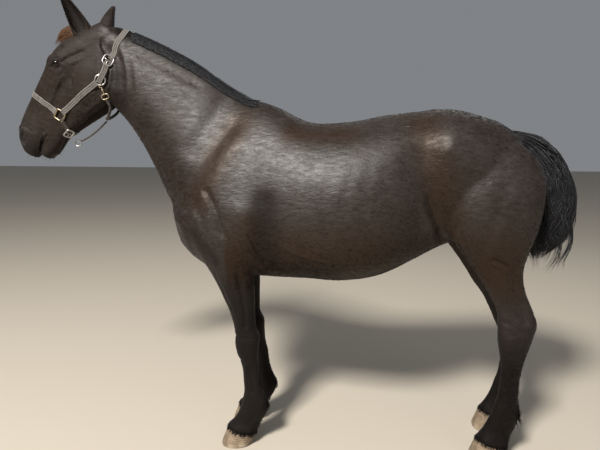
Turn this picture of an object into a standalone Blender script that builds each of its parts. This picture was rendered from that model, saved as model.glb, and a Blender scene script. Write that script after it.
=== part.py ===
"""A life-size black-brown cob horse, standing square in a stitched halter.

Metres, +Z up. The horse faces -X with its left side towards -Y, and stands on z = 0.
The flesh is lofted through named sections, merged into one surface, moulded with
strokes for the muscles and bones, and parted into named nodes by thin cuts.
"""

import math

import bmesh
import bpy
import numpy as np
from mathutils import Matrix, Vector
from mathutils.bvhtree import BVHTree

NAME = "cob_horse"

# Driving dimensions
GAP = 0.0003  # between pieces that meet
MIDDLE_X = -0.061  # of the whole, moved to the origin at the end
VOXEL = 0.010  # grid of the merged flesh
FLESH_TRIANGLES = 3200
KEPT_FINER = 0.12  # how much less the head and the lower legs are thinned
HEAD_TILT = math.radians(56.5)  # of the face below the horizontal
POLL = Vector((-0.930, 0.0, 1.940))
EYE_PLACE = (0.240, 0.028, 0.083)  # along the head, above its axis, to the side
EYE_RADIUS = 0.021
HOOF_Y = {"fore": 0.112, "hind": 0.135}

# Sections: top or front point (x, z), bottom or back point (x, z), half width,
# then, where they differ from the defaults, side offset, squareness and egg shape.
TRUNK = {
    "breast_tip": ((-0.572, 1.200), (-0.560, 1.020), 0.080),
    "breast": ((-0.535, 1.320), (-0.520, 0.925), 0.165, 0, 2.2, -0.10),
    "shoulder_point": ((-0.460, 1.440), (-0.440, 0.850), 0.215, 0, 2.3, -0.20),
    "shoulder": ((-0.350, 1.560), (-0.340, 0.815), 0.235, 0, 2.2, -0.30),
    "withers": ((-0.215, 1.602), (-0.220, 0.800), 0.240, 0, 2.1, -0.34),
    "girth": ((-0.110, 1.575), (-0.100, 0.794), 0.262, 0, 2.1, -0.26),
    "saddle": ((0.040, 1.507), (0.040, 0.794), 0.292, 0, 2.2, -0.14),
    "barrel": ((0.200, 1.506), (0.200, 0.788), 0.312, 0, 2.2, -0.10),
    "last_rib": ((0.380, 1.534), (0.380, 0.822), 0.300, 0, 2.2, -0.04),
    "loin": ((0.520, 1.550), (0.520, 0.890), 0.268, 0, 2.2, 0.08),
    "hip": ((0.650, 1.562), (0.650, 0.960), 0.262, 0, 2.3, 0.20),
    "croup": ((0.770, 1.536), (0.780, 1.000), 0.250, 0, 2.3, 0.16),
    "dock": ((0.875, 1.498), (0.885, 1.010), 0.215, 0, 2.3, 0.10),
    "buttock": ((0.950, 1.440), (0.950, 1.060), 0.160, 0, 2.3, 0.10),
    "rump_end": ((0.990, 1.370), (0.985, 1.160), 0.100, 0, 2.3),
}
NECK = {
    "in_head": ((-0.925, 1.925), (-0.945, 1.640), 0.055),
    "atlas": ((-0.850, 1.930), (-0.880, 1.585), 0.080, 0, 2.2, -0.10),
    "upper": ((-0.745, 1.896), (-0.800, 1.500), 0.088, 0, 2.1, -0.22),
    "middle": ((-0.605, 1.834), (-0.725, 1.388), 0.100, 0, 2.1, -0.34),
    "lower": ((-0.460, 1.756), (-0.665, 1.275), 0.122, 0, 2.1, -0.40),
    "base": ((-0.330, 1.660), (-0.600, 1.150), 0.160, 0, 2.1, -0.36),
    "in_trunk": ((-0.200, 1.590), (-0.480, 1.040), 0.190, 0, 2.1, -0.30),
}
FORE_LEG = {
    "blade": ((-0.395, 1.330), (-0.245, 1.330), 0.060, 0.115),
    "arm": ((-0.490, 1.130), (-0.235, 1.150), 0.085, 0.150),
    "elbow": ((-0.485, 1.000), (-0.185, 1.010), 0.095, 0.155),
    "forearm_top": ((-0.428, 0.900), (-0.180, 0.900), 0.085, 0.150),
    "forearm": ((-0.375, 0.810), (-0.190, 0.810), 0.070, 0.140),
    "mid_forearm": ((-0.335, 0.720), (-0.190, 0.715), 0.057, 0.132),
    "low_forearm": ((-0.305, 0.630), (-0.190, 0.630), 0.047, 0.125),
    "over_knee": ((-0.291, 0.565), (-0.186, 0.570), 0.045, 0.120),
    "knee_top": ((-0.286, 0.525), (-0.172, 0.535), 0.049, 0.118, 2.6),
    "knee": ((-0.280, 0.470), (-0.176, 0.480), 0.050, 0.116, 2.6),
    "knee_base": ((-0.268, 0.420), (-0.180, 0.420), 0.043, 0.115, 2.4),
    "cannon_top": ((-0.258, 0.375), (-0.174, 0.375), 0.033, 0.114),
    "cannon": ((-0.253, 0.310), (-0.170, 0.310), 0.030, 0.113),
    "cannon_base": ((-0.251, 0.260), (-0.156, 0.258), 0.033, 0.112),
    "fetlock": ((-0.258, 0.220), (-0.132, 0.205), 0.040, 0.112),
    "pastern_top": ((-0.273, 0.168), (-0.142, 0.148), 0.038, 0.112),
    "pastern": ((-0.299, 0.120), (-0.175, 0.096), 0.041, 0.112),
    "coronet": ((-0.326, 0.088), (-0.190, 0.060), 0.056, 0.112),
    "coronet_base": ((-0.330, 0.075), (-0.194, 0.045), 0.057, 0.112),
}
HIND_LEG = {
    "croup_top": ((0.720, 1.455), (0.875, 1.455), 0.040, 0.110),
    "croup": ((0.690, 1.400), (0.946, 1.400), 0.088, 0.125, 2.3),
    "hip_joint": ((0.640, 1.270), (1.012, 1.306), 0.115, 0.146, 2.4),
    "thigh": ((0.630, 1.150), (1.022, 1.190), 0.122, 0.156, 2.4),
    "stifle": ((0.648, 1.040), (1.008, 1.070), 0.112, 0.158, 2.3),
    "under_stifle": ((0.700, 0.955), (0.985, 0.975), 0.092, 0.154, 2.2),
    "gaskin": ((0.765, 0.868), (0.968, 0.885), 0.070, 0.148),
    "low_gaskin": ((0.832, 0.765), (0.985, 0.785), 0.050, 0.143),
    "over_hock": ((0.872, 0.685), (1.020, 0.705), 0.038, 0.140),
    "hock_top": ((0.880, 0.625), (1.044, 0.648), 0.042, 0.138, 2.5),
    "hock": ((0.885, 0.560), (1.034, 0.580), 0.046, 0.137, 2.5),
    "hock_base": ((0.898, 0.490), (1.012, 0.495), 0.040, 0.136, 2.4),
    "cannon_top": ((0.907, 0.425), (0.999, 0.425), 0.033, 0.135),
    "cannon": ((0.905, 0.350), (0.991, 0.350), 0.030, 0.135),
    "cannon_base": ((0.898, 0.290), (0.992, 0.285), 0.033, 0.135),
    "fetlock": ((0.884, 0.242), (0.998, 0.225), 0.040, 0.135),
    "pastern_top": ((0.868, 0.190), (0.990, 0.160), 0.037, 0.135),
    "pastern": ((0.843, 0.138), (0.966, 0.108), 0.040, 0.135),
    "coronet": ((0.822, 0.100), (0.958, 0.070), 0.056, 0.135),
    "coronet_base": ((0.818, 0.087), (0.955, 0.055), 0.057, 0.135),
}
# Head sections are (along the head, above its axis) from the poll.
SKULL = {
    "nape": ((-0.020, -0.010), (-0.020, -0.130), 0.050),
    "poll": ((0.030, 0.022), (0.030, -0.150), 0.066, 0, 2.2, 0.05),
    "ears": ((0.085, 0.054), (0.085, -0.160), 0.078, 0, 2.3, 0.10),
    "forehead": ((0.160, 0.089), (0.160, -0.140), 0.092, 0, 2.5, 0.16),
    "brow": ((0.230, 0.098), (0.230, -0.120), 0.100, 0, 2.5, 0.16),
    "under_eye": ((0.300, 0.101), (0.300, -0.105), 0.089, 0, 2.3, 0.06),
    "face": ((0.370, 0.104), (0.370, -0.090), 0.070, 0, 2.3, 0.0),
    "nose": ((0.450, 0.103), (0.450, -0.080), 0.056, 0, 2.3, -0.10),
    "nose_end": ((0.530, 0.099), (0.530, -0.070), 0.052, 0, 2.2, -0.12),
    "nostrils": ((0.597, 0.083), (0.602, -0.066), 0.056, 0, 2.4, 0.0),
    "upper_lip": ((0.650, 0.055), (0.658, -0.062), 0.052, 0, 2.4, 0.0),
    "lip_end": ((0.688, 0.014), (0.690, -0.055), 0.036),
}
JAW = {
    "angle_top": ((0.060, -0.060), (0.090, -0.190), 0.030, 0.052),
    "angle": ((0.150, -0.020), (0.190, -0.238), 0.034, 0.058, 2.4),
    "cheek": ((0.230, 0.000), (0.270, -0.238), 0.034, 0.058, 2.4),
    "cheek_front": ((0.320, 0.030), (0.350, -0.208), 0.034, 0.049, 2.3),
    "bars": ((0.420, 0.020), (0.435, -0.172), 0.032, 0.034),
    "chin_groove": ((0.520, -0.010), (0.530, -0.136), 0.034, 0.021),
    "chin": ((0.590, -0.046), (0.594, -0.134), 0.036, 0.012),
    "lower_lip": ((0.650, -0.070), (0.655, -0.118), 0.028, 0.010),
}

TAIL = {
    "root": ((0.935, 1.486), (0.925, 1.420), 0.026),
    "dock": ((1.000, 1.476), (0.975, 1.395), 0.040),
    "bend": ((1.055, 1.456), (1.000, 1.370), 0.054),
    "upper": ((1.105, 1.411), (1.022, 1.330), 0.068),
    "swell": ((1.152, 1.343), (1.040, 1.285), 0.080),
    "middle": ((1.190, 1.255), (1.052, 1.210), 0.088, 0, 2.3),
    "thick": ((1.212, 1.155), (1.055, 1.115), 0.090, 0, 2.4),
    "lower": ((1.208, 1.060), (1.045, 1.015), 0.084, 0, 2.4),
    "tips": ((1.178, 0.985), (1.045, 0.925), 0.064, 0, 2.3),
    "end": ((1.130, 0.945), (1.058, 0.893), 0.034),
}
FORELOCK = {
    "root": ((0.055, 0.060), (0.085, 0.015), 0.026),
    "rise": ((0.072, 0.100), (0.107, 0.038), 0.028),
    "tuft": ((0.108, 0.130), (0.146, 0.064), 0.024),
    "tip": ((0.160, 0.126), (0.184, 0.090), 0.012),
}
HOOF = {  # (x, z) of the coronet's front and back, the toe and the heel
    "fore": ((-0.326, 0.080), (-0.192, 0.052), (-0.358, 0.0), (-0.212, 0.0)),
    "hind": ((0.820, 0.093), (0.956, 0.062), (0.790, 0.0), (0.935, 0.0)),
}
HOOF_LEVELS = {  # share of the way down, half width, squeeze of the heel
    "coronet": (0.0, 0.055, 0.0),
    "wall": (0.45, 0.0612, 0.05),
    "flare": (0.93, 0.069, 0.1),
}
SOLE_HALF_WIDTH = 0.066
SOLE_EDGE = 0.003  # by which the wall's lower edge is rounded
EARS = {  # root (in the head's frame), the way to the tip, the way it opens, length
    "left": ((0.075, -0.004, -0.050), (-0.42, -0.17, 0.90), (0.20, -1.0, 0.0), 0.230),
    "right": ((0.031, -0.025, 0.047), (0.11, 0.41, 0.82), (0.40, 0.9, -0.1), 0.190),
}
EAR_HALF_WIDTH = 0.040
EAR_BEND = {"left": 0.018, "right": 0.005}
EAR_SUNK = 0.020
EAR_FLAT = 0.75
EAR_PINCH = (0.45, 0.40)  # how far the root's edges close, and up to which share
EAR_THICKNESS = 0.0035
CUTS = {  # a point (x, z) of each cut, the way across it, and its length and breadth
    "throat": ((-0.831, 1.715), (0.99, 0.13), 0.60, 0.6),
    "neck_base": ((-0.465, 1.430), (0.838, -0.546), 0.90, 0.8),
    "forearms": ((-0.300, 0.775), (0.0, 1.0), 0.50, 0.8),
    "gaskins": ((0.860, 0.940), (0.0, 1.0), 0.60, 0.9),
}
MANE = {"front": -0.755, "back": -0.225, "fall": 0.115, "crest": 0.009}
MANE_THICKNESS = 0.014
MANE_EDGE = 0.012  # how far it starts on the near side of the crest
STRAP_WIDTH = 0.025
STRAP_THICKNESS = 0.003
STRAP_CLEARANCE = 0.003  # of the straps off the skin
CHIN_STRAP_WIDTH = 0.020
THROAT_ROLL = 0.0065  # radius of the rolled throat strap
LINK_RADIUS = 0.004
SNAP_RADIUS = 0.0045
WIRE = 0.0030  # of the rings and buckles
HOOP_HALF = 0.0220  # of the rings
SQUARE_HALF = 0.0200
SQUARE_CORNER = 0.025  # from its middle to its corner
BUCKLE_HALVES = (0.0205, 0.0245)
BUCKLE_CLEARANCE = 0.010  # of the crown buckle, which bridges the hollow behind the jaw
CHIN_BUCKLE_HALVES = (0.0165, 0.0200)
CHIN_RING_HALF = 0.013
CHEEK_UP = (0.55, 0.0, 0.83)  # how the fittings on the cheek stand
HALTER = {  # along the head, above its axis, to the side
    "ring": (0.192, -0.178, 0.088),
    "cheek": (0.310, -0.132, 0.085),
    "square": (0.434, -0.086, 0.064),
    "nose_side": (0.432, 0.010, 0.066),
    "nose_edge": (0.430, 0.080, 0.045),
    "nose_top": (0.428, 0.106, 0.0),
    "chin_side": (0.467, -0.125, 0.052),
    "chin": (0.500, -0.172, 0.0),
    "chin_buckle": (0.486, -0.143, 0.038),
    "chin_ring": (0.515, -0.190, 0.0),
    "crown_buckle": (0.092, -0.163, 0.088),
    "crown_side": (0.030, -0.149, 0.062),
    "crown_edge": (-0.030, -0.142, 0.038),
    "crown_top": (-0.072, -0.126, 0.0),
    "snap_top": (0.216, -0.200, 0.094),
    "snap_foot": (0.236, -0.224, 0.090),
    "throat_side": (0.249, -0.240, 0.086),
    "throat_back": (0.273, -0.268, 0.070),
    "throat_edge": (0.306, -0.272, 0.056),
    "throat": (0.340, -0.252, 0.0),
    "throat_far": (0.300, -0.246, 0.074),
    "throat_end": (0.254, -0.236, 0.092),
    "link_front": (0.500, -0.196, 0.0),
}

# Strokes: bumps (+) and hollows (-) laid along short paths on both sides, as
# name: (height, radius, points (x, y, z)). Head strokes are in the head's own frame.
BODY_STROKES = {
    "blade_front_edge": (-0.010, 0.060, ((-0.300, 0.13, 1.48), (-0.470, 0.19, 1.15))),
    "blade_spine": (0.006, 0.055, ((-0.245, 0.15, 1.42), (-0.440, 0.21, 1.10))),
    "triceps": (0.016, 0.085, ((-0.225, 0.22, 1.10), (-0.230, 0.22, 1.00))),
    "behind_triceps": (-0.012, 0.050, ((-0.130, 0.25, 1.16), (-0.150, 0.24, 0.88))),
    "shoulder_point": (0.016, 0.055, ((-0.500, 0.17, 1.08),)),
    "arm_groove": (-0.012, 0.035, ((-0.440, 0.22, 1.02), (-0.380, 0.21, 0.90))),
    "breast_muscle": (0.014, 0.070, ((-0.560, 0.08, 1.12), (-0.540, 0.09, 0.98))),
    "breast_cleft": (-0.014, 0.030, ((-0.590, 0.0, 1.20), (-0.540, 0.0, 0.92))),
    "jugular_groove": (-0.008, 0.028, ((-0.800, 0.07, 1.58), (-0.640, 0.12, 1.24))),
    "neck_root": (-0.010, 0.060, ((-0.330, 0.10, 1.60), (-0.450, 0.17, 1.38))),
    "loin": (0.006, 0.060, ((0.350, 0.08, 1.53), (0.560, 0.08, 1.55))),
    "hip_bone": (0.016, 0.050, ((0.600, 0.235, 1.400),)),
    "flank": (-0.015, 0.090, ((0.505, 0.27, 1.34), (0.560, 0.26, 1.12))),
    "croup_muscle": (0.010, 0.090, ((0.760, 0.17, 1.44),)),
    "thigh_groove": (-0.010, 0.030, ((0.900, 0.22, 1.30), (0.900, 0.22, 1.00))),
    "thigh_muscle": (0.010, 0.080, ((0.960, 0.19, 1.22), (0.930, 0.20, 1.05))),
    "knee_cap": (0.014, 0.045, ((0.668, 0.19, 1.03),)),
    "rump_cleft": (-0.030, 0.035, ((1.000, 0.0, 1.30), (1.000, 0.0, 1.02))),
}
FORE_STROKES = {
    "forearm_muscle": (0.010, 0.050, ((-0.330, 0.20, 0.82), (-0.290, 0.18, 0.72))),
    "knee_cap": (0.005, 0.030, ((-0.285, 0.14, 0.500), (-0.280, 0.14, 0.450))),
    "tendon_groove": (-0.005, 0.014, ((-0.212, 0.145, 0.380), (-0.205, 0.145, 0.270))),
    "ergot": (0.006, 0.016, ((-0.160, 0.112, 0.190),)),
}
HIND_STROKES = {
    "gaskin_muscle": (0.008, 0.045, ((0.850, 0.21, 0.870), (0.880, 0.19, 0.780))),
    "string_hollow": (-0.012, 0.024, ((0.960, 0.17, 0.740), (0.985, 0.17, 0.660))),
    "hock_bone": (0.005, 0.028, ((0.930, 0.18, 0.580), (0.940, 0.18, 0.530))),
    "tendon_groove": (-0.005, 0.014, ((0.957, 0.168, 0.430), (0.948, 0.168, 0.300))),
    "ergot": (0.006, 0.016, ((0.990, 0.135, 0.205),)),
}
HEAD_STROKES = {
    "masseter": (0.010, 0.075, ((0.200, -0.110, 0.09), (0.270, -0.130, 0.09))),
    "cheekbone": (0.007, 0.020, ((0.270, 0.000, 0.10), (0.410, -0.012, 0.07))),
    "under_cheekbone": (-0.006, 0.024, ((0.330, -0.040, 0.08), (0.440, -0.045, 0.06))),
    "temple_hollow": (-0.010, 0.022, ((0.175, 0.060, 0.08), (0.205, 0.058, 0.08))),
    "brow_bone": (0.008, 0.022, ((0.205, 0.056, 0.09), (0.255, 0.068, 0.09))),
    "eye_socket": (-0.007, 0.020, ((0.240, 0.028, 0.10),)),
    "throat": (-0.016, 0.045, ((0.060, -0.150, 0.08), (0.150, -0.230, 0.07))),
    "nostril": (-0.016, 0.013, ((0.612, 0.040, 0.055), (0.640, 0.022, 0.050))),
    "nostril_rim": (0.004, 0.012, ((0.590, 0.052, 0.050), (0.600, 0.020, 0.055))),
    "mouth": (-0.005, 0.007, ((0.570, -0.054, 0.050), (0.690, -0.072, 0.020))),
    "mouth_front": (-0.005, 0.007, ((0.690, -0.072, 0.020), (0.700, -0.072, 0.0))),
    "lower_lip": (0.004, 0.020, ((0.640, -0.095, 0.030), (0.600, -0.105, 0.035))),
}


def head_frame():
    """From (along the face, above its axis, to the side) to the world."""
    along = Vector((-math.cos(HEAD_TILT), 0, -math.sin(HEAD_TILT)))
    above = Vector((-math.sin(HEAD_TILT), 0, math.cos(HEAD_TILT)))
    side = Vector((0, 1, 0))
    turn = Matrix((along, above, side)).transposed().to_4x4()
    return Matrix.Translation(POLL) @ turn


HEAD = head_frame()


def clear_scene():
    for item in list(bpy.data.objects):
        bpy.data.objects.remove(item, do_unlink=True)


def collection(name, hidden=False):
    group = bpy.data.collections.new(name)
    group.hide_render = hidden
    bpy.context.scene.collection.children.link(group)
    return group


def material(name, colour, roughness, metallic=0.0):
    made = bpy.data.materials.new(name)
    made.use_nodes = True
    shader = made.node_tree.nodes["Principled BSDF"]
    shader.inputs["Base Color"].default_value = (*colour, 1)
    shader.inputs["Roughness"].default_value = roughness
    shader.inputs["Metallic"].default_value = metallic
    return made


def full(section):
    """All eight numbers of a section, with defaults for those it leaves out."""
    front, back, half_width, *rest = section
    side, square, egg = (list(rest) + [0.0, 2.2, 0.0][len(rest) :])[:3]
    return [*front, *back, half_width, side, square, egg]


def through(rows, spacing):
    """Rows of numbers drawn as smooth curves through the given ones."""
    rows = np.array(rows, float)
    middle = (rows[:, 0:2] + rows[:, 2:4]) / 2
    step = np.linalg.norm(np.diff(middle, axis=0), axis=1)
    at = np.concatenate([[0], np.cumsum(np.maximum(step, 1e-6))])
    slope = np.gradient(rows, at, axis=0)
    count = max(int(at[-1] / spacing), len(rows)) + 1
    t = np.linspace(0, at[-1], count)
    i = np.clip(np.searchsorted(at, t, side="right") - 1, 0, len(at) - 2)
    width = (at[i + 1] - at[i])[:, None]
    u = (t - at[i])[:, None] / width
    return (
        (2 * u**3 - 3 * u**2 + 1) * rows[i]
        + (u**3 - 2 * u**2 + u) * width * slope[i]
        + (3 * u**2 - 2 * u**3) * rows[i + 1]
        + (u**3 - u**2) * width * slope[i + 1]
    )


def ring(row, sides):
    """Points round one section: a rounded egg between its two end points."""
    ax, az, bx, bz, half_width, side, square, egg = row
    turn = np.linspace(0, 2 * math.pi, sides, endpoint=False)
    c, s = np.cos(turn), np.sin(turn)
    c = np.sign(c) * np.abs(c) ** (2 / square)
    s = np.sign(s) * np.abs(s) ** (2 / square)
    x = (ax + bx) / 2 + (ax - bx) / 2 * c
    z = (az + bz) / 2 + (az - bz) / 2 * c
    return np.stack([x, side + half_width * s * (1 + egg * c), z], axis=1)


def tube(rings):
    """Vertices and outward faces of a closed loft through rings."""
    count = len(rings)
    sides = len(rings[0])
    points = np.concatenate([*rings, [rings[0].mean(0)], [rings[-1].mean(0)]])
    faces = []
    for i in range(count - 1):
        for k in range(sides):
            a, b = i * sides + k, i * sides + (k + 1) % sides
            faces.append((a, b, b + sides, a + sides))
    for k in range(sides):
        last = (count - 1) * sides
        faces.append((count * sides, (k + 1) % sides, k))
        faces.append((count * sides + 1, last + k, last + (k + 1) % sides))
    corners = (points - points.mean(0))[np.array(faces[: (count - 1) * sides])]
    volume = np.einsum(
        "ij,ij->i", corners[:, 0], np.cross(corners[:, 1], corners[:, 2])
    ).sum()
    if volume < 0:
        faces = [face[::-1] for face in faces]
    return points, faces


def limb(sections, spacing=0.02, sides=32, flip=1, shift=None, in_head=False):
    """A loft through named sections, on the left (flip -1) or the right."""
    rows = through([full(section) for section in sections.values()], spacing)
    rings = []
    for row in rows:
        points = ring(row, sides)
        points[:, 1] *= flip
        if shift:
            points[:, 0] += shift(points[:, 2])
        if in_head:
            points = points[:, [0, 2, 1]] @ np.array(HEAD.to_3x3()).T + np.array(POLL)
        rings.append(points)
    return tube(rings)


def ramp(z, low, high):
    """0 above high, 1 below low, and smooth between."""
    t = np.clip((high - z) / (high - low), 0, 1)
    return t * t * (3 - 2 * t)


def far_fore(z):
    return -0.020 + 0.030 * ramp(z, 0.30, 0.60)


def far_hind(z):
    return 0.085 * ramp(z, 0.47, 0.78)


def mesh_object(name, points, faces, group, look=None):
    mesh = bpy.data.meshes.new(name)
    mesh.from_pydata([tuple(p) for p in points], [], [tuple(f) for f in faces])
    mesh.validate()
    item = bpy.data.objects.new(name, mesh)
    group.objects.link(item)
    if look:
        mesh.materials.append(look)
    return item


def joined(shapes):
    points, faces, start = [], [], 0
    for shape_points, shape_faces in shapes:
        points.append(shape_points)
        faces += [tuple(start + k for k in face) for face in shape_faces]
        start += len(shape_points)
    return np.concatenate(points), faces


def applied(item):
    """The object with its modifiers worked into its mesh."""
    graph = bpy.context.evaluated_depsgraph_get()
    mesh = bpy.data.meshes.new_from_object(item.evaluated_get(graph))
    item.modifiers.clear()
    old, item.data = item.data, mesh
    bpy.data.meshes.remove(old)
    return item


def coordinates(mesh):
    points = np.empty(len(mesh.vertices) * 3)
    mesh.vertices.foreach_get("co", points)
    return points.reshape(-1, 3)


def place(mesh, points):
    mesh.vertices.foreach_set("co", points.ravel())
    mesh.update()


def edges_of(mesh):
    ends = np.empty(len(mesh.edges) * 2, np.int64)
    mesh.edges.foreach_get("vertices", ends)
    return ends.reshape(-1, 2)


def relaxed(points, ends, weight, rounds):
    """Smoothed without shrinking, by as much as each point's weight."""
    count = len(points)
    near = np.bincount(ends.ravel(), minlength=count)[:, None]
    for _ in range(rounds):
        for strength in (0.50, -0.52):
            total = np.zeros_like(points)
            for axis in range(3):
                total[:, axis] = np.bincount(
                    ends[:, 0], points[ends[:, 1], axis], count
                ) + np.bincount(ends[:, 1], points[ends[:, 0], axis], count)
            points = points + strength * weight * (total / near - points)
    return points


def distance_to_path(points, path):
    """Distance of each point to a chain of straight stretches."""
    if len(path) == 1:
        return np.linalg.norm(points - path[0], axis=1)
    best = np.full(len(points), np.inf)
    for a, b in zip(path[:-1], path[1:]):
        run = b - a
        t = np.clip((points - a) @ run / (run @ run), 0, 1)
        best = np.minimum(best, np.linalg.norm(points - a - t[:, None] * run, axis=1))
    return best


def moulded(points, normals, strokes, flips=(-1, 1), shift=None, in_head=False):
    """Points pushed in or out along their normals round each stroke's path."""
    push = np.zeros(len(points))
    for height, radius, path in strokes.values():
        for flip in flips:
            path_points = np.array(path, float)
            if in_head:
                path_points = np.array(
                    [HEAD @ Vector((a, h, flip * y)) for a, h, y in path_points]
                )
            else:
                path_points[:, 1] *= flip
                if shift:
                    path_points[:, 0] += shift(path_points[:, 2])
            away = distance_to_path(points, path_points)
            bump = height * np.exp(-((away / radius) ** 2) * 1.6)
            on_middle = np.allclose(path_points[:, 1], 0)
            push += bump * (0.5 if on_middle else 1.0)
    return points + normals * push[:, None]


def flesh_surface(group, voxel):
    """The whole body without ears, hooves and hair, as one smooth mesh."""
    shapes = [
        limb(TRUNK, sides=48),
        limb(NECK, sides=40),
        limb(SKULL, in_head=True),
        limb(JAW, in_head=True),
        limb(JAW, in_head=True, flip=-1),
        limb(FORE_LEG, flip=-1),
        limb(FORE_LEG, shift=far_fore),
        limb(HIND_LEG, flip=-1),
        limb(HIND_LEG, shift=far_hind),
    ]
    body = mesh_object("flesh", *joined(shapes), group)
    remesh = body.modifiers.new("merge", "REMESH")
    remesh.mode = "VOXEL"
    remesh.voxel_size = voxel
    applied(body)
    mesh = body.data
    points = coordinates(mesh)
    ends = edges_of(mesh)
    slender = ramp(points[:, 2], 0.60, 0.95)
    facial = np.clip((-0.80 - points[:, 0]) / 0.12, 0, 1)
    weight = (1 - 0.85 * np.maximum(slender, facial))[:, None]
    points = relaxed(points, ends, weight, round(24 * (0.01 / voxel) ** 2))
    place(mesh, points)
    for strokes, choice in (
        (BODY_STROKES, {}),
        (FORE_STROKES, {"flips": (-1,)}),
        (FORE_STROKES, {"flips": (1,), "shift": far_fore}),
        (HIND_STROKES, {"flips": (-1,)}),
        (HIND_STROKES, {"flips": (1,), "shift": far_hind}),
        (HEAD_STROKES, {"in_head": True}),
    ):
        normals = np.array([v.normal for v in mesh.vertices])
        points = moulded(coordinates(mesh), normals, strokes, **choice)
        place(mesh, points)
    return body


def thinned(body, triangles):
    """Fewer triangles, kept closest together on the head and the lower legs."""
    points = coordinates(body.data)
    slender = ramp(points[:, 2], 0.55, 0.95)
    facial = np.clip((-0.86 - points[:, 0]) / 0.08, 0, 1)
    group = body.vertex_groups.new(name="plain")
    keep = 1 - KEPT_FINER * np.maximum(slender, facial)
    for index, value in enumerate(keep):
        group.add([index], float(value), "REPLACE")
    fewer = body.modifiers.new("thin", "DECIMATE")
    faces = len(body.data.polygons) * 2
    fewer.ratio = triangles / faces
    fewer.vertex_group = "plain"
    fewer.vertex_group_factor = 2.0
    fewer.use_collapse_triangulate = True
    return applied(body)


def boolean(item, cutter, operation="DIFFERENCE"):
    cut = item.modifiers.new("cut", "BOOLEAN")
    cut.operation = operation
    cut.solver = "EXACT"
    cut.object = cutter
    return applied(item)


def swollen(item, name, group, by=GAP):
    """A hidden copy of a solid, pushed out by a gap, to cut its neighbours with."""
    copy = item.copy()
    copy.data = item.data.copy()
    copy.name = name
    copy.hide_render = True
    copy.display_type = "WIRE"
    group.objects.link(copy)
    points = coordinates(copy.data)
    normals = np.array([v.normal for v in copy.data.vertices])
    place(copy.data, points + normals * by)
    return copy


def slab(name, centre, across, size, group, thickness=GAP):
    """A thin box through a point, facing along a direction in the XZ plane."""
    bpy.ops.mesh.primitive_cube_add(size=1)
    box = bpy.context.object
    box.name = name
    for old in box.users_collection:
        old.objects.unlink(box)
    group.objects.link(box)
    angle = math.atan2(-across[1], across[0])
    box.matrix_world = (
        Matrix.Translation((centre[0], centre[2], centre[1]))
        @ Matrix.Rotation(angle, 4, "Y")
        @ Matrix.Diagonal((thickness, size[1], size[0], 1))
    )
    box.data.transform(box.matrix_world)
    box.matrix_world = Matrix.Identity(4)
    box.hide_render = True
    box.display_type = "WIRE"
    return box


def loose_parts(item):
    """The separate bodies of a mesh, as lists of face indices, largest first."""
    work = bmesh.new()
    work.from_mesh(item.data)
    left = set(work.verts)
    bodies = []
    while left:
        stack = [left.pop()]
        found = set(stack)
        while stack:
            for edge in stack.pop().link_edges:
                for vert in edge.verts:
                    if vert in left:
                        left.discard(vert)
                        found.add(vert)
                        stack.append(vert)
        bodies.append({face.index for vert in found for face in vert.link_faces})
    work.free()
    return sorted(bodies, key=len, reverse=True)


def body_of(item, faces, name, group):
    """A new object from some of a mesh's faces."""
    mesh = item.data
    used = sorted({v for f in faces for v in mesh.polygons[f].vertices})
    index = {v: i for i, v in enumerate(used)}
    points = [mesh.vertices[v].co for v in used]
    corners = [[index[v] for v in mesh.polygons[f].vertices] for f in sorted(faces)]
    return mesh_object(name, points, corners, group, mesh.materials[0])


def keep_largest(item):
    bodies = loose_parts(item)
    if len(bodies) > 1:
        mesh = item.data
        work = bmesh.new()
        work.from_mesh(mesh)
        work.faces.ensure_lookup_table()
        extra = [work.faces[f] for body in bodies[1:] for f in body]
        bmesh.ops.delete(work, geom=extra, context="FACES")
        lonely = [v for v in work.verts if not v.link_faces]
        bmesh.ops.delete(work, geom=lonely, context="VERTS")
        work.to_mesh(mesh)
        work.free()
    return item


def hoof(kind, flip, shift, group, look):
    """A flared wall from the coronet down to a flat sole on the floor."""
    top_front, top_back, toe, heel = (np.array(p) for p in HOOF[kind])
    down = np.array([top_back[1] - top_front[1], top_front[0] - top_back[0]])
    clear = down / np.linalg.norm(down) * 2 * GAP
    side = HOOF_Y[kind]
    rings = []
    for share, half_width, heel_in in HOOF_LEVELS.values():
        front = top_front + clear + (toe - top_front) * share
        back = top_back + clear + (heel - top_back) * share
        rings.append(ring([*front, *back, half_width, side, 2.3, heel_in], 24))
    sole = [toe[0] + SOLE_EDGE, 0, heel[0] - SOLE_EDGE, 0, SOLE_HALF_WIDTH, side, 2.3, 0.1]
    rings.append(ring(sole, 24))
    for points in rings:
        points[:, 1] *= flip
        points[:, 0] += shift
    name = f"hoof_{kind}_{'left' if flip < 0 else 'right'}"
    return mesh_object(name, *tube(rings), group, look)


CORONET_BOX = (0.26, 0.20)  # wider than any hoof, so that it trims the whole leg


def coronet_box(kind, flip, shift, group):
    """A hidden box under a coronet, to trim the leg where its hoof begins."""
    front, back = HOOF[kind][0], HOOF[kind][1]
    run = np.array([back[0] - front[0], back[1] - front[1]])
    across = (run[1], -run[0])
    length = np.linalg.norm(across)
    across = (across[0] / length, across[1] / length)
    depth = 0.10
    middle = (
        (front[0] + back[0]) / 2 + shift + across[0] * depth / 2,
        (front[1] + back[1]) / 2 + across[1] * depth / 2,
        flip * HOOF_Y[kind],
    )
    name = f"under_{kind}_{flip}"
    return slab(name, middle, across, CORONET_BOX, group, thickness=depth)


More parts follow.
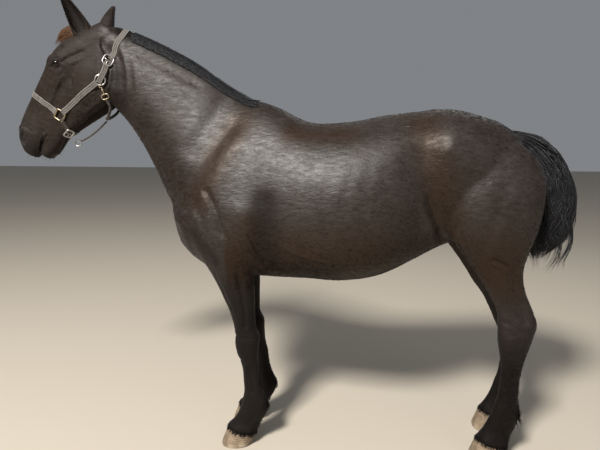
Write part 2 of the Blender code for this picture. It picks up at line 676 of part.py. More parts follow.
def ear(side, group, look):
    """A scoop of skin, rolled at the root and open along one side."""
    root, tip_way, open_way, length = EARS[side]
    axis = Vector(tip_way).normalized()
    opening = Vector(open_way)
    opening = (opening - axis * opening.dot(axis)).normalized()
    across = axis.cross(opening)
    start = HEAD @ Vector(root) - axis * EAR_SUNK
    rows, columns = 8, 9
    least = 0.004  # keeps the tip's ring open
    points = []
    for i in range(rows):
        t = i / (rows - 1)
        radius = EAR_HALF_WIDTH * (1.22 - 0.66 * t) * math.sqrt(max(1 - t**2.6, least))
        spread = math.radians(150 - 75 * t)
        centre = start + axis * length * t - opening * EAR_BEND[side] * math.sin(math.pi * t)
        pinch = EAR_PINCH[0] * max(0, 1 - t / EAR_PINCH[1])
        for k in range(columns):
            turn = 2 * k / (columns - 1) - 1
            out = across * math.sin(spread * turn) - opening * math.cos(spread * turn) * EAR_FLAT
            points.append(centre + out * radius * (1 - pinch * turn**4))
    faces = []
    for i in range(rows - 1):
        for k in range(columns - 1):
            a = i * columns + k
            faces.append((a, a + 1, a + 1 + columns, a + columns))
    item = mesh_object(f"ear_{side}", points, faces, group, look)
    shell = item.modifiers.new("thickness", "SOLIDIFY")
    shell.thickness = EAR_THICKNESS
    shell.offset = 0
    applied(item)
    work = bmesh.new()
    work.from_mesh(item.data)
    bmesh.ops.recalc_face_normals(work, faces=work.faces)
    work.to_mesh(item.data)
    work.free()
    return item


def ball(name, centre, radius, group, look=None, segments=16, rings=8):
    bpy.ops.mesh.primitive_uv_sphere_add(
        segments=segments, ring_count=rings, radius=radius, location=centre
    )
    item = bpy.context.object
    for old in item.users_collection:
        old.objects.unlink(item)
    group.objects.link(item)
    item.name = name
    if look:
        item.data.materials.append(look)
    else:
        item.hide_render = True
        item.display_type = "WIRE"
    return item


def mane(surface, group, look):
    """A short mane over the crest and down the right side of the neck."""
    count, steps = 16, 6
    sunk, rim = 0.006, 0.004  # depth under the crest and the side, and the least thickness
    above = Vector((0, 0, 2.5))
    down = Vector((0, 0, -1))
    rings = []
    for i in range(count):
        t = i / (count - 1)
        x = MANE["front"] + (MANE["back"] - MANE["front"]) * t
        top = surface.ray_cast(above + Vector((x, 0, 0)), down)[0]
        fall = MANE["fall"] * (1 - 0.5 * max(0, (t - 0.6) / 0.4))
        outer, inner = [], []
        edge = surface.ray_cast(above + Vector((x, -MANE_EDGE, 0)), down)[0]
        outer.append(edge + Vector((0, -0.003, 0.001)))
        outer.append(top + Vector((0, 0.0, MANE["crest"])))
        for k in range(1, steps + 1):
            z = top.z - sunk - (fall - sunk) * k / steps
            spot, normal = surface.ray_cast(Vector((x, 0.6, z)), Vector((0, -1, 0)))[:2]
            swell = math.sin(math.pi * min(k / steps + 0.35, 1)) ** 0.5
            outer.append(spot + normal * (rim + (MANE_THICKNESS - rim) * swell))
            inner.append(spot - normal * rim)
        inner = [edge + down * sunk, top + down * sunk] + inner
        rings.append(np.array([*outer, *inner[::-1]]))
    return mesh_object("mane", *tube(rings), group, look)


def smooth_path(points, spacing):
    """Points at even steps along a curve through the given ones."""
    rows = np.array(points, float)
    step = np.linalg.norm(np.diff(rows, axis=0), axis=1)
    at = np.concatenate([[0], np.cumsum(step)])
    slope = np.gradient(rows, at, axis=0)
    t = np.linspace(0, at[-1], max(int(at[-1] / spacing), 2) + 1)
    i = np.clip(np.searchsorted(at, t, side="right") - 1, 0, len(at) - 2)
    width = (at[i + 1] - at[i])[:, None]
    u = (t - at[i])[:, None] / width
    return (
        (2 * u**3 - 3 * u**2 + 1) * rows[i]
        + (u**3 - 2 * u**2 + u) * width * slope[i]
        + (3 * u**2 - 2 * u**3) * rows[i + 1]
        + (u**3 - u**2) * width * slope[i + 1]
    )


def resting(path, surface, clear):
    """A path laid on the surface at a small clearance, with its normals."""
    for _ in range(3):
        spots = [surface.find_nearest(Vector(p)) for p in path]
        laid = np.array([spot + normal * clear for spot, normal, _, _ in spots])
        inner = (laid[:-2] + laid[2:]) / 2
        path = laid.copy()
        path[1:-1] = (laid[1:-1] + inner) / 2
    normals = np.array([surface.find_nearest(Vector(p))[1] for p in path])
    for _ in range(3):
        normals[1:-1] = (normals[:-2] + normals[1:-1] + normals[2:]) / 3
    normals /= np.linalg.norm(normals, axis=1)[:, None]
    return path, normals


def band(name, path, normals, width, thickness, group, look):
    """A flat strap along a path, standing on its normals."""
    along = np.gradient(path, axis=0)
    along /= np.linalg.norm(along, axis=1)[:, None]
    across = np.cross(along, normals)
    across /= np.linalg.norm(across, axis=1)[:, None]
    up = np.cross(across, along)
    rings = []
    for p, w, n in zip(path, across, up):
        w, n = w * width / 2, n * thickness
        rings.append(np.array([p - w, p + w, p + w + n, p - w + n]))
    return mesh_object(name, *tube(rings), group, look)


def hoop(name, centre, normal, up, size, wire, group, look, squareness=2.0):
    """A closed wire: a ring, an oval or a rounded square."""
    normal = Vector(normal).normalized()
    up = Vector(up)
    up = (up - normal * up.dot(normal)).normalized()
    side = up.cross(normal)
    curve = bpy.data.curves.new(name, "CURVE")
    curve.dimensions = "3D"
    curve.bevel_depth = wire
    curve.bevel_resolution = 1
    spline = curve.splines.new("POLY")
    count = 14
    spline.points.add(count - 1)
    for k in range(count):
        angle = 2 * math.pi * (k + 0.5) / count
        c, s = math.cos(angle), math.sin(angle)
        u = math.copysign(abs(c) ** (2 / squareness), c) * size[0]
        v = math.copysign(abs(s) ** (2 / squareness), s) * size[1]
        spline.points[k].co = (*(Vector(centre) + side * u + up * v), 1)
    spline.use_cyclic_u = True
    curve.materials.append(look)
    item = bpy.data.objects.new(name, curve)
    group.objects.link(item)
    return item


def rod(name, points, radius, group, look, resolution=2):
    """A round bar along a chain of points, with filled ends."""
    curve = bpy.data.curves.new(name, "CURVE")
    curve.dimensions = "3D"
    curve.bevel_depth = radius
    curve.bevel_resolution = resolution
    curve.use_fill_caps = True
    spline = curve.splines.new("POLY")
    spline.points.add(len(points) - 1)
    for target, point in zip(spline.points, points):
        target.co = (*point, 1)
    curve.materials.append(look)
    item = bpy.data.objects.new(name, curve)
    group.objects.link(item)
    return item


def on_head(place, flip=1):
    return np.array(HEAD @ Vector((place[0], place[1], flip * place[2])))


def trimmed(path, normals, start, end):
    """The stretch of a path that stays these distances off its two ends."""
    from_start = np.linalg.norm(path - path[0], axis=1)
    from_end = np.linalg.norm(path - path[-1], axis=1)
    keep = (from_start >= start) & (from_end >= end)
    return path[keep], normals[keep]


def strap(name, points, ends, surface, group, look, width=STRAP_WIDTH):
    """A flat strap laid over the skin through some points, short of its two ends."""
    path, normals = resting(smooth_path(points, 0.006), surface, STRAP_CLEARANCE)
    path, normals = trimmed(path, normals, *ends)
    return band(name, path[::2], normals[::2], width, STRAP_THICKNESS, group, look)


def rolled(name, points, radius, surface, group, look):
    """A round strap or bar laid a little clear of the skin."""
    clear = radius + 2 * STRAP_CLEARANCE
    path = resting(smooth_path(points, 0.016), surface, clear)[0]
    rod(name, path, radius, group, look)
    return path


def fitting(name, place, halves, surface, group, look, square=2.0, lift=STRAP_CLEARANCE):
    """A wire ring, square or buckle lying flat against the head."""
    spot, normal, _, _ = surface.find_nearest(Vector(place))
    centre = spot + normal * (lift + WIRE)
    hoop(name, centre, normal, CHEEK_UP, halves, WIRE, group, look, square)


def halter(surface, group, cloth, steel, brass):
    """The head collar; returns the flat straps, which may touch the skin."""
    at = {}
    for name, spot in HALTER.items():
        at[name, "left"] = on_head(spot, -1)
        at[name, "right"] = on_head(spot, 1)
    hoop_end = HOOP_HALF + WIRE + 0.001
    square_end = SQUARE_CORNER + WIRE + 0.001
    buckle_end = BUCKLE_HALVES[1] + WIRE + 0.001
    straps = []
    for side in ("left", "right"):
        ring, square = at["ring", side], at["square", side]
        halves = (HOOP_HALF, HOOP_HALF)
        fitting(f"halter_ring_{side}", ring, halves, surface, group, steel)
        halves = (SQUARE_HALF, SQUARE_HALF)
        fitting(f"halter_square_{side}", square, halves, surface, group, brass, 6.0)
        path = (ring, at["cheek", side], square)
        name = f"halter_cheek_strap_{side}"
        straps.append(strap(name, path, (hoop_end, square_end), surface, group, cloth))
        snap = (at["snap_top", side], at["snap_foot", side])
        rolled(f"halter_snap_{side}", snap, SNAP_RADIUS, surface, group, steel)

    def chain(*names):
        """From the left side of the first, over the last one, to the right side."""
        left = [at[name, "left"] for name in names]
        return left + [at[name, "right"] for name in names[-2::-1]]

    buckle = at["crown_buckle", "left"]
    name = "halter_crown_buckle"
    fitting(name, buckle, BUCKLE_HALVES, surface, group, steel, 2.6, BUCKLE_CLEARANCE)
    name = "halter_chin_buckle"
    lift = STRAP_CLEARANCE + STRAP_THICKNESS + 2 * GAP
    spot = at["chin_buckle", "left"]
    fitting(name, spot, CHIN_BUCKLE_HALVES, surface, group, steel, 6.0, lift)
    low = (at["ring", "left"], buckle)
    crown = chain("ring", "crown_buckle", "crown_side", "crown_edge", "crown_top")[1:]
    nose = chain("square", "nose_side", "nose_edge", "nose_top")
    chin = chain("square", "chin_side", "chin")
    for name, path, ends, width in (
        ("halter_crown_end", low, (hoop_end, buckle_end), STRAP_WIDTH),
        ("halter_crown_strap", crown, (buckle_end, hoop_end), STRAP_WIDTH),
        ("halter_noseband", nose, (square_end, square_end), STRAP_WIDTH),
        ("halter_chin_strap", chin, (square_end, square_end), CHIN_STRAP_WIDTH),
    ):
        straps.append(strap(name, path, ends, surface, group, cloth, width))
    throat = [at[name, "left"] for name in ("throat_side", "throat_back", "throat_edge")]
    throat += [at[name, "right"] for name in ("throat", "throat_far", "throat_end")]
    throat = smooth_path(throat, 0.016)
    rod("halter_throat_strap", throat, THROAT_ROLL, group, cloth)
    below = at["throat", "left"] + np.array([-0.004, 0, -0.003 - THROAT_ROLL - LINK_RADIUS])
    link = (below, at["link_front", "left"])
    rod("halter_link_strap", link, LINK_RADIUS, group, cloth)
    ring = at["chin_ring", "left"]
    halves = (CHIN_RING_HALF, CHIN_RING_HALF)
    hoop("halter_chin_ring", ring, (0, 1, 0), (0, 0, 1), halves, WIRE, group, steel)
    return straps


def name_bodies(flesh, group):
    """The parted flesh as named nodes, told apart by where they lie."""
    bodies = []
    foot, fore, chest, throat = 0.2, 0.3, -0.2, -0.87  # a height, then places along x
    for faces in loose_parts(flesh):
        centres = np.array([flesh.data.polygons[f].center for f in faces])
        x, y, z = centres.mean(0)
        side = "left" if y < 0 else "right"
        if centres[:, 2].min() < foot:
            name = f"{'fore' if x < fore else 'hind'}_leg_{side}"
        elif x > chest:
            name = "trunk"
        else:
            name = "head" if x < throat else "neck"
        bodies.append(body_of(flesh, faces, name, group))
    bpy.data.objects.remove(flesh, do_unlink=True)
    return bodies


def main():
    clear_scene()
    parts = collection(NAME)
    cutters = collection("cutters", hidden=True)
    coat = material("coat", (0.035, 0.026, 0.022), 0.55)
    horn = material("hoof", (0.48, 0.38, 0.27), 0.6)
    glass = material("eye", (0.02, 0.012, 0.008), 0.05)
    hair = material("hair", (0.012, 0.011, 0.014), 0.6)
    strap = material("strap", (0.28, 0.25, 0.22), 0.8)
    steel = material("steel", (0.6, 0.6, 0.6), 0.3, 1.0)
    brass = material("brass", (0.62, 0.5, 0.28), 0.35, 1.0)

    flesh = thinned(flesh_surface(parts, VOXEL), FLESH_TRIANGLES)
    flesh.data.materials.append(coat)
    wrap = swollen(flesh, "flesh_cutter", cutters)
    surface = BVHTree.FromObject(flesh, bpy.context.evaluated_depsgraph_get())

    for flip, side in ((-1, "left"), (1, "right")):
        centre = on_head(EYE_PLACE, flip)
        ball(f"eye_{side}", centre, EYE_RADIUS, parts, glass)
        boolean(flesh, ball(f"socket_{side}", centre, EYE_RADIUS + GAP, cutters))
        fore = float(far_fore(0.05)) if flip > 0 else 0.0
        hind = float(far_hind(0.05)) if flip > 0 else 0.0
        hoof("fore", flip, fore, parts, horn)
        hoof("hind", flip, hind, parts, horn)
        boolean(flesh, coronet_box("fore", flip, fore, cutters))
        boolean(flesh, coronet_box("hind", flip, hind, cutters))
        boolean(ear(side, parts, coat), wrap)
        keep_largest(parts.objects[f"ear_{side}"])
    tail = mesh_object("tail", *limb(TAIL, spacing=0.055, sides=16), parts, hair)
    forelock = mesh_object(
        "forelock", *limb(FORELOCK, spacing=0.03, sides=10, in_head=True), parts, hair
    )
    for item in (tail, mane(surface, parts, hair), forelock):
        keep_largest(boolean(item, wrap))
    for side in ("left", "right"):
        near = swollen(parts.objects[f"ear_{side}"], f"ear_cutter_{side}", cutters)
        keep_largest(boolean(forelock, near))
    for item in halter(surface, parts, strap, steel, brass):
        keep_largest(boolean(item, wrap))

    for name, (point, across, *size) in CUTS.items():
        boolean(flesh, slab(name, (*point, 0), across, size, cutters))
    name_bodies(flesh, parts)
    for item in parts.objects:
        item.location.x -= MIDDLE_X


main()
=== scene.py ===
"""The looks of a life-size black-brown cob horse in a stitched halter.

Metres, +Z up. The horse faces -X with its left side towards -Y, and stands on z = 0.
The skin is lofted through the same named sections as the solids, at a finer grid, then
moulded with finer strokes: lids, nostrils, lips, veins, creases. Hair is mesh locks.
"""

import math
from contextlib import contextmanager

import bmesh
import bpy
import numpy as np
from mathutils import Matrix, Vector
from mathutils.bvhtree import BVHTree


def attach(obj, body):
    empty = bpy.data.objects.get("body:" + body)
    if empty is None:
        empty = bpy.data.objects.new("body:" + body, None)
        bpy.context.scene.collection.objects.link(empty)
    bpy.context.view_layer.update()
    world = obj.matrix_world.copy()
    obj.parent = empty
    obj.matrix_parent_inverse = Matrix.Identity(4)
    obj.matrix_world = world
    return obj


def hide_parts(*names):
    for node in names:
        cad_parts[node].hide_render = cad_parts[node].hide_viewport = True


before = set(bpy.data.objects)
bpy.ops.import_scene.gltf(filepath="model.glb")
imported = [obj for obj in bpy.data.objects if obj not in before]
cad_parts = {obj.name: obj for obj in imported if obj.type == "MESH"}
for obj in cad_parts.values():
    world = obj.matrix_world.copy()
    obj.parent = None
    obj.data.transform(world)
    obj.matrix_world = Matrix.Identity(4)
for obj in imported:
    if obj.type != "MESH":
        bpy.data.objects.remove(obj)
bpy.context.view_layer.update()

MIDDLE_X = -0.061  # of the whole, moved to the origin by the solids
HEAD_TILT = math.radians(56.5)  # of the face below the horizontal
POLL = Vector((-0.930, 0.0, 1.940))
EYE_PLACE = (0.240, 0.028, 0.083)  # along the head, above its axis, to the side
EYE_RADIUS = 0.021
HOOF_Y = {"fore": 0.112, "hind": 0.135}
COAT_DEPTH = 0.0025  # by which the skin lies inside the solids
CUT = 0.0003  # between two nodes
VOXEL = 0.006
SKIN_TRIANGLES = 182000
TINY = 1e-12

# Sections: top or front point (x, z), bottom or back point (x, z), half width,
# then, where they differ from the defaults, side offset, squareness and egg shape.
TRUNK = {
    "breast_tip": ((-0.572, 1.200), (-0.560, 1.020), 0.080),
    "breast": ((-0.535, 1.320), (-0.520, 0.925), 0.165, 0, 2.2, -0.10),
    "shoulder_point": ((-0.460, 1.440), (-0.440, 0.850), 0.215, 0, 2.3, -0.20),
    "shoulder": ((-0.350, 1.560), (-0.340, 0.815), 0.235, 0, 2.2, -0.30),
    "withers": ((-0.215, 1.602), (-0.220, 0.800), 0.240, 0, 2.1, -0.34),
    "girth": ((-0.110, 1.575), (-0.100, 0.794), 0.262, 0, 2.1, -0.26),
    "saddle": ((0.040, 1.507), (0.040, 0.794), 0.292, 0, 2.2, -0.14),
    "barrel": ((0.200, 1.506), (0.200, 0.788), 0.312, 0, 2.2, -0.10),
    "last_rib": ((0.380, 1.534), (0.380, 0.822), 0.300, 0, 2.2, -0.04),
    "loin": ((0.520, 1.550), (0.520, 0.890), 0.268, 0, 2.2, 0.08),
    "hip": ((0.650, 1.562), (0.650, 0.960), 0.262, 0, 2.3, 0.20),
    "croup": ((0.770, 1.536), (0.780, 1.000), 0.250, 0, 2.3, 0.16),
    "dock": ((0.875, 1.498), (0.885, 1.010), 0.215, 0, 2.3, 0.10),
    "buttock": ((0.950, 1.440), (0.950, 1.060), 0.160, 0, 2.3, 0.10),
    "rump_end": ((0.990, 1.370), (0.985, 1.160), 0.100, 0, 2.3),
}
NECK = {
    "in_head": ((-0.925, 1.925), (-0.945, 1.640), 0.055),
    "atlas": ((-0.850, 1.930), (-0.880, 1.585), 0.080, 0, 2.2, -0.10),
    "upper": ((-0.745, 1.896), (-0.800, 1.500), 0.088, 0, 2.1, -0.22),
    "middle": ((-0.605, 1.834), (-0.725, 1.388), 0.100, 0, 2.1, -0.34),
    "lower": ((-0.460, 1.756), (-0.665, 1.275), 0.122, 0, 2.1, -0.40),
    "base": ((-0.330, 1.660), (-0.600, 1.150), 0.160, 0, 2.1, -0.36),
    "in_trunk": ((-0.200, 1.590), (-0.480, 1.040), 0.190, 0, 2.1, -0.30),
}
FORE_LEG = {
    "blade": ((-0.395, 1.330), (-0.245, 1.330), 0.060, 0.115),
    "arm": ((-0.490, 1.130), (-0.235, 1.150), 0.085, 0.150),
    "elbow": ((-0.485, 1.000), (-0.185, 1.010), 0.095, 0.155),
    "forearm_top": ((-0.428, 0.900), (-0.180, 0.900), 0.085, 0.150),
    "forearm": ((-0.375, 0.810), (-0.190, 0.810), 0.070, 0.140),
    "mid_forearm": ((-0.335, 0.720), (-0.190, 0.715), 0.057, 0.132),
    "low_forearm": ((-0.305, 0.630), (-0.190, 0.630), 0.047, 0.125),
    "over_knee": ((-0.291, 0.565), (-0.186, 0.570), 0.045, 0.120),
    "knee_top": ((-0.286, 0.525), (-0.172, 0.535), 0.049, 0.118, 2.6),
    "knee": ((-0.280, 0.470), (-0.176, 0.480), 0.050, 0.116, 2.6),
    "knee_base": ((-0.268, 0.420), (-0.180, 0.420), 0.043, 0.115, 2.4),
    "cannon_top": ((-0.258, 0.375), (-0.174, 0.375), 0.033, 0.114),
    "cannon": ((-0.253, 0.310), (-0.170, 0.310), 0.030, 0.113),
    "cannon_base": ((-0.251, 0.260), (-0.156, 0.258), 0.033, 0.112),
    "fetlock": ((-0.258, 0.220), (-0.132, 0.205), 0.040, 0.112),
    "pastern_top": ((-0.273, 0.168), (-0.142, 0.148), 0.038, 0.112),
    "pastern": ((-0.299, 0.120), (-0.175, 0.096), 0.041, 0.112),
    "coronet": ((-0.326, 0.088), (-0.190, 0.060), 0.056, 0.112),
    "coronet_base": ((-0.330, 0.075), (-0.194, 0.045), 0.057, 0.112),
}
HIND_LEG = {
    "croup_top": ((0.720, 1.455), (0.875, 1.455), 0.040, 0.110),
    "croup": ((0.690, 1.400), (0.946, 1.400), 0.088, 0.125, 2.3),
    "hip_joint": ((0.640, 1.270), (1.012, 1.306), 0.115, 0.146, 2.4),
    "thigh": ((0.630, 1.150), (1.022, 1.190), 0.122, 0.156, 2.4),
    "stifle": ((0.648, 1.040), (1.008, 1.070), 0.112, 0.158, 2.3),
    "under_stifle": ((0.700, 0.955), (0.985, 0.975), 0.092, 0.154, 2.2),
    "gaskin": ((0.765, 0.868), (0.968, 0.885), 0.070, 0.148),
    "low_gaskin": ((0.832, 0.765), (0.985, 0.785), 0.050, 0.143),
    "over_hock": ((0.872, 0.685), (1.020, 0.705), 0.038, 0.140),
    "hock_top": ((0.880, 0.625), (1.044, 0.648), 0.042, 0.138, 2.5),
    "hock": ((0.885, 0.560), (1.034, 0.580), 0.046, 0.137, 2.5),
    "hock_base": ((0.898, 0.490), (1.012, 0.495), 0.040, 0.136, 2.4),
    "cannon_top": ((0.907, 0.425), (0.999, 0.425), 0.033, 0.135),
    "cannon": ((0.905, 0.350), (0.991, 0.350), 0.030, 0.135),
    "cannon_base": ((0.898, 0.290), (0.992, 0.285), 0.033, 0.135),
    "fetlock": ((0.884, 0.242), (0.998, 0.225), 0.040, 0.135),
    "pastern_top": ((0.868, 0.190), (0.990, 0.160), 0.037, 0.135),
    "pastern": ((0.843, 0.138), (0.966, 0.108), 0.040, 0.135),
    "coronet": ((0.822, 0.100), (0.958, 0.070), 0.056, 0.135),
    "coronet_base": ((0.818, 0.087), (0.955, 0.055), 0.057, 0.135),
}
# Head sections are (along the head, above its axis) from the poll.
SKULL = {
    "nape": ((-0.020, -0.010), (-0.020, -0.130), 0.050),
    "poll": ((0.030, 0.022), (0.030, -0.150), 0.066, 0, 2.2, 0.05),
    "ears": ((0.085, 0.054), (0.085, -0.160), 0.078, 0, 2.3, 0.10),
    "forehead": ((0.160, 0.089), (0.160, -0.140), 0.092, 0, 2.5, 0.16),
    "brow": ((0.230, 0.098), (0.230, -0.120), 0.100, 0, 2.5, 0.16),
    "under_eye": ((0.300, 0.101), (0.300, -0.105), 0.089, 0, 2.3, 0.06),
    "face": ((0.370, 0.104), (0.370, -0.090), 0.070, 0, 2.3, 0.0),
    "nose": ((0.450, 0.103), (0.450, -0.080), 0.056, 0, 2.3, -0.10),
    "nose_end": ((0.530, 0.099), (0.530, -0.070), 0.052, 0, 2.2, -0.12),
    "nostrils": ((0.597, 0.083), (0.602, -0.066), 0.056, 0, 2.4, 0.0),
    "upper_lip": ((0.650, 0.055), (0.658, -0.062), 0.052, 0, 2.4, 0.0),
    "lip_end": ((0.688, 0.014), (0.690, -0.055), 0.036),
}
JAW = {
    "angle_top": ((0.060, -0.060), (0.090, -0.190), 0.030, 0.052),
    "angle": ((0.150, -0.020), (0.190, -0.238), 0.034, 0.058, 2.4),
    "cheek": ((0.230, 0.000), (0.270, -0.238), 0.034, 0.058, 2.4),
    "cheek_front": ((0.320, 0.030), (0.350, -0.208), 0.034, 0.049, 2.3),
    "bars": ((0.420, 0.020), (0.435, -0.172), 0.032, 0.034),
    "chin_groove": ((0.520, -0.010), (0.530, -0.136), 0.034, 0.021),
    "chin": ((0.590, -0.046), (0.594, -0.134), 0.036, 0.012),
    "lower_lip": ((0.650, -0.070), (0.655, -0.118), 0.028, 0.010),
}

TAIL = {
    "root": ((0.935, 1.486), (0.925, 1.420), 0.026),
    "dock": ((1.000, 1.476), (0.975, 1.395), 0.040),
    "bend": ((1.055, 1.456), (1.000, 1.370), 0.054),
    "upper": ((1.105, 1.411), (1.022, 1.330), 0.068),
    "swell": ((1.152, 1.343), (1.040, 1.285), 0.080),
    "middle": ((1.190, 1.255), (1.052, 1.210), 0.088, 0, 2.3),
    "thick": ((1.212, 1.155), (1.055, 1.115), 0.090, 0, 2.4),
    "lower": ((1.208, 1.060), (1.045, 1.015), 0.084, 0, 2.4),
    "tips": ((1.178, 0.985), (1.045, 0.925), 0.064, 0, 2.3),
    "end": ((1.130, 0.945), (1.058, 0.893), 0.034),
}
FORELOCK = {
    "root": ((0.055, 0.060), (0.085, 0.015), 0.026),
    "rise": ((0.072, 0.100), (0.107, 0.038), 0.028),
    "tuft": ((0.108, 0.130), (0.146, 0.064), 0.024),
    "tip": ((0.160, 0.126), (0.184, 0.090), 0.012),
}
HOOF = {  # (x, z) of the coronet's front and back, the toe and the heel
    "fore": ((-0.326, 0.080), (-0.192, 0.052), (-0.358, 0.0), (-0.212, 0.0)),
    "hind": ((0.820, 0.093), (0.956, 0.062), (0.790, 0.0), (0.935, 0.0)),
}
HOOF_LEVELS = {  # share of the way down, half width, squeeze of the heel
    "coronet": (0.0, 0.055, 0.0),
    "wall": (0.45, 0.0612, 0.05),
    "flare": (0.93, 0.069, 0.1),
}
SOLE_HALF_WIDTH = 0.066
SOLE_EDGE = 0.003  # by which the wall's lower edge is rounded
EARS = {  # root (in the head's frame), the way to the tip, the way it opens, length
    "left": ((0.075, -0.004, -0.050), (-0.42, -0.17, 0.90), (0.20, -1.0, 0.0), 0.230),
    "right": ((0.031, -0.025, 0.047), (0.11, 0.41, 0.82), (0.40, 0.9, -0.1), 0.190),
}
EAR_HALF_WIDTH = 0.040
EAR_BEND = {"left": 0.018, "right": 0.005}  # of its middle, away from the opening
EAR_SUNK = 0.020  # into the head
EAR_FLAT = 0.75  # depth of the scoop for its width
EAR_PINCH = (0.45, 0.40)  # how far the root's edges close, and up to which share
MANE = {"front": -0.755, "back": -0.225, "fall": 0.115}
STRAP_WIDTH = 0.025
CHIN_STRAP_WIDTH = 0.020
THROAT_ROLL = 0.0065  # radius of the rolled throat strap
LINK_RADIUS = 0.004
WIRE = 0.0030  # of the rings and buckles
HOOP_HALF = 0.0220  # of the rings
SQUARE_HALF = 0.0200
BUCKLE_HALVES = (0.0205, 0.0245)
CHIN_BUCKLE_HALVES = (0.0165, 0.0200)
CHIN_RING_HALF = 0.013
CHEEK_UP = (0.55, 0.0, 0.83)  # how the fittings on the cheek stand
HALTER = {  # along the head, above its axis, to the side
    "ring": (0.192, -0.178, 0.088),
    "cheek": (0.310, -0.132, 0.085),
    "square": (0.434, -0.086, 0.064),
    "nose_side": (0.432, 0.010, 0.066),
    "nose_edge": (0.430, 0.080, 0.045),
    "nose_top": (0.428, 0.106, 0.0),
    "chin_side": (0.467, -0.125, 0.052),
    "chin": (0.500, -0.172, 0.0),
    "chin_buckle": (0.486, -0.143, 0.038),
    "chin_ring": (0.515, -0.190, 0.0),
    "crown_buckle": (0.092, -0.163, 0.088),
    "crown_side": (0.030, -0.149, 0.062),
    "crown_edge": (-0.030, -0.142, 0.038),
    "crown_top": (-0.072, -0.126, 0.0),
    "snap_top": (0.216, -0.200, 0.094),
    "snap_foot": (0.236, -0.224, 0.090),
    "throat_side": (0.249, -0.240, 0.086),
    "throat_back": (0.273, -0.268, 0.070),
    "throat_edge": (0.306, -0.272, 0.056),
    "throat": (0.340, -0.252, 0.0),
    "throat_far": (0.300, -0.246, 0.074),
    "throat_end": (0.254, -0.236, 0.092),
    "link_front": (0.500, -0.196, 0.0),
}

# Strokes: bumps (+) and hollows (-) laid along short paths on both sides, as
# name: (height, radius, points (x, y, z)). Head strokes are in the head's own frame.
BODY_STROKES = {
    "blade_front_edge": (-0.010, 0.060, ((-0.300, 0.13, 1.48), (-0.470, 0.19, 1.15))),
    "blade_spine": (0.006, 0.055, ((-0.245, 0.15, 1.42), (-0.440, 0.21, 1.10))),
    "triceps": (0.016, 0.085, ((-0.225, 0.22, 1.10), (-0.230, 0.22, 1.00))),
    "behind_triceps": (-0.012, 0.050, ((-0.130, 0.25, 1.16), (-0.150, 0.24, 0.88))),
    "shoulder_point": (0.016, 0.055, ((-0.500, 0.17, 1.08),)),
    "arm_groove": (-0.012, 0.035, ((-0.440, 0.22, 1.02), (-0.380, 0.21, 0.90))),
    "breast_muscle": (0.014, 0.070, ((-0.560, 0.08, 1.12), (-0.540, 0.09, 0.98))),
    "breast_cleft": (-0.014, 0.030, ((-0.590, 0.0, 1.20), (-0.540, 0.0, 0.92))),
    "jugular_groove": (-0.008, 0.028, ((-0.800, 0.07, 1.58), (-0.640, 0.12, 1.24))),
    "neck_root": (-0.010, 0.060, ((-0.330, 0.10, 1.60), (-0.450, 0.17, 1.38))),
    "loin": (0.006, 0.060, ((0.350, 0.08, 1.53), (0.560, 0.08, 1.55))),
    "hip_bone": (0.016, 0.050, ((0.600, 0.235, 1.400),)),
    "flank": (-0.015, 0.090, ((0.505, 0.27, 1.34), (0.560, 0.26, 1.12))),
    "croup_muscle": (0.010, 0.090, ((0.760, 0.17, 1.44),)),
    "thigh_groove": (-0.010, 0.030, ((0.900, 0.22, 1.30), (0.900, 0.22, 1.00))),
    "thigh_muscle": (0.010, 0.080, ((0.960, 0.19, 1.22), (0.930, 0.20, 1.05))),
    "knee_cap": (0.014, 0.045, ((0.668, 0.19, 1.03),)),
    "rump_cleft": (-0.030, 0.035, ((1.000, 0.0, 1.30), (1.000, 0.0, 1.02))),
}
FORE_STROKES = {
    "forearm_muscle": (0.010, 0.050, ((-0.330, 0.20, 0.82), (-0.290, 0.18, 0.72))),
    "knee_cap": (0.005, 0.030, ((-0.285, 0.14, 0.500), (-0.280, 0.14, 0.450))),
    "tendon_groove": (-0.005, 0.014, ((-0.212, 0.145, 0.380), (-0.205, 0.145, 0.270))),
    "ergot": (0.006, 0.016, ((-0.160, 0.112, 0.190),)),
}
HIND_STROKES = {
    "gaskin_muscle": (0.008, 0.045, ((0.850, 0.21, 0.870), (0.880, 0.19, 0.780))),
    "string_hollow": (-0.012, 0.024, ((0.960, 0.17, 0.740), (0.985, 0.17, 0.660))),
    "hock_bone": (0.005, 0.028, ((0.930, 0.18, 0.580), (0.940, 0.18, 0.530))),
    "tendon_groove": (-0.005, 0.014, ((0.957, 0.168, 0.430), (0.948, 0.168, 0.300))),
    "ergot": (0.006, 0.016, ((0.990, 0.135, 0.205),)),
}
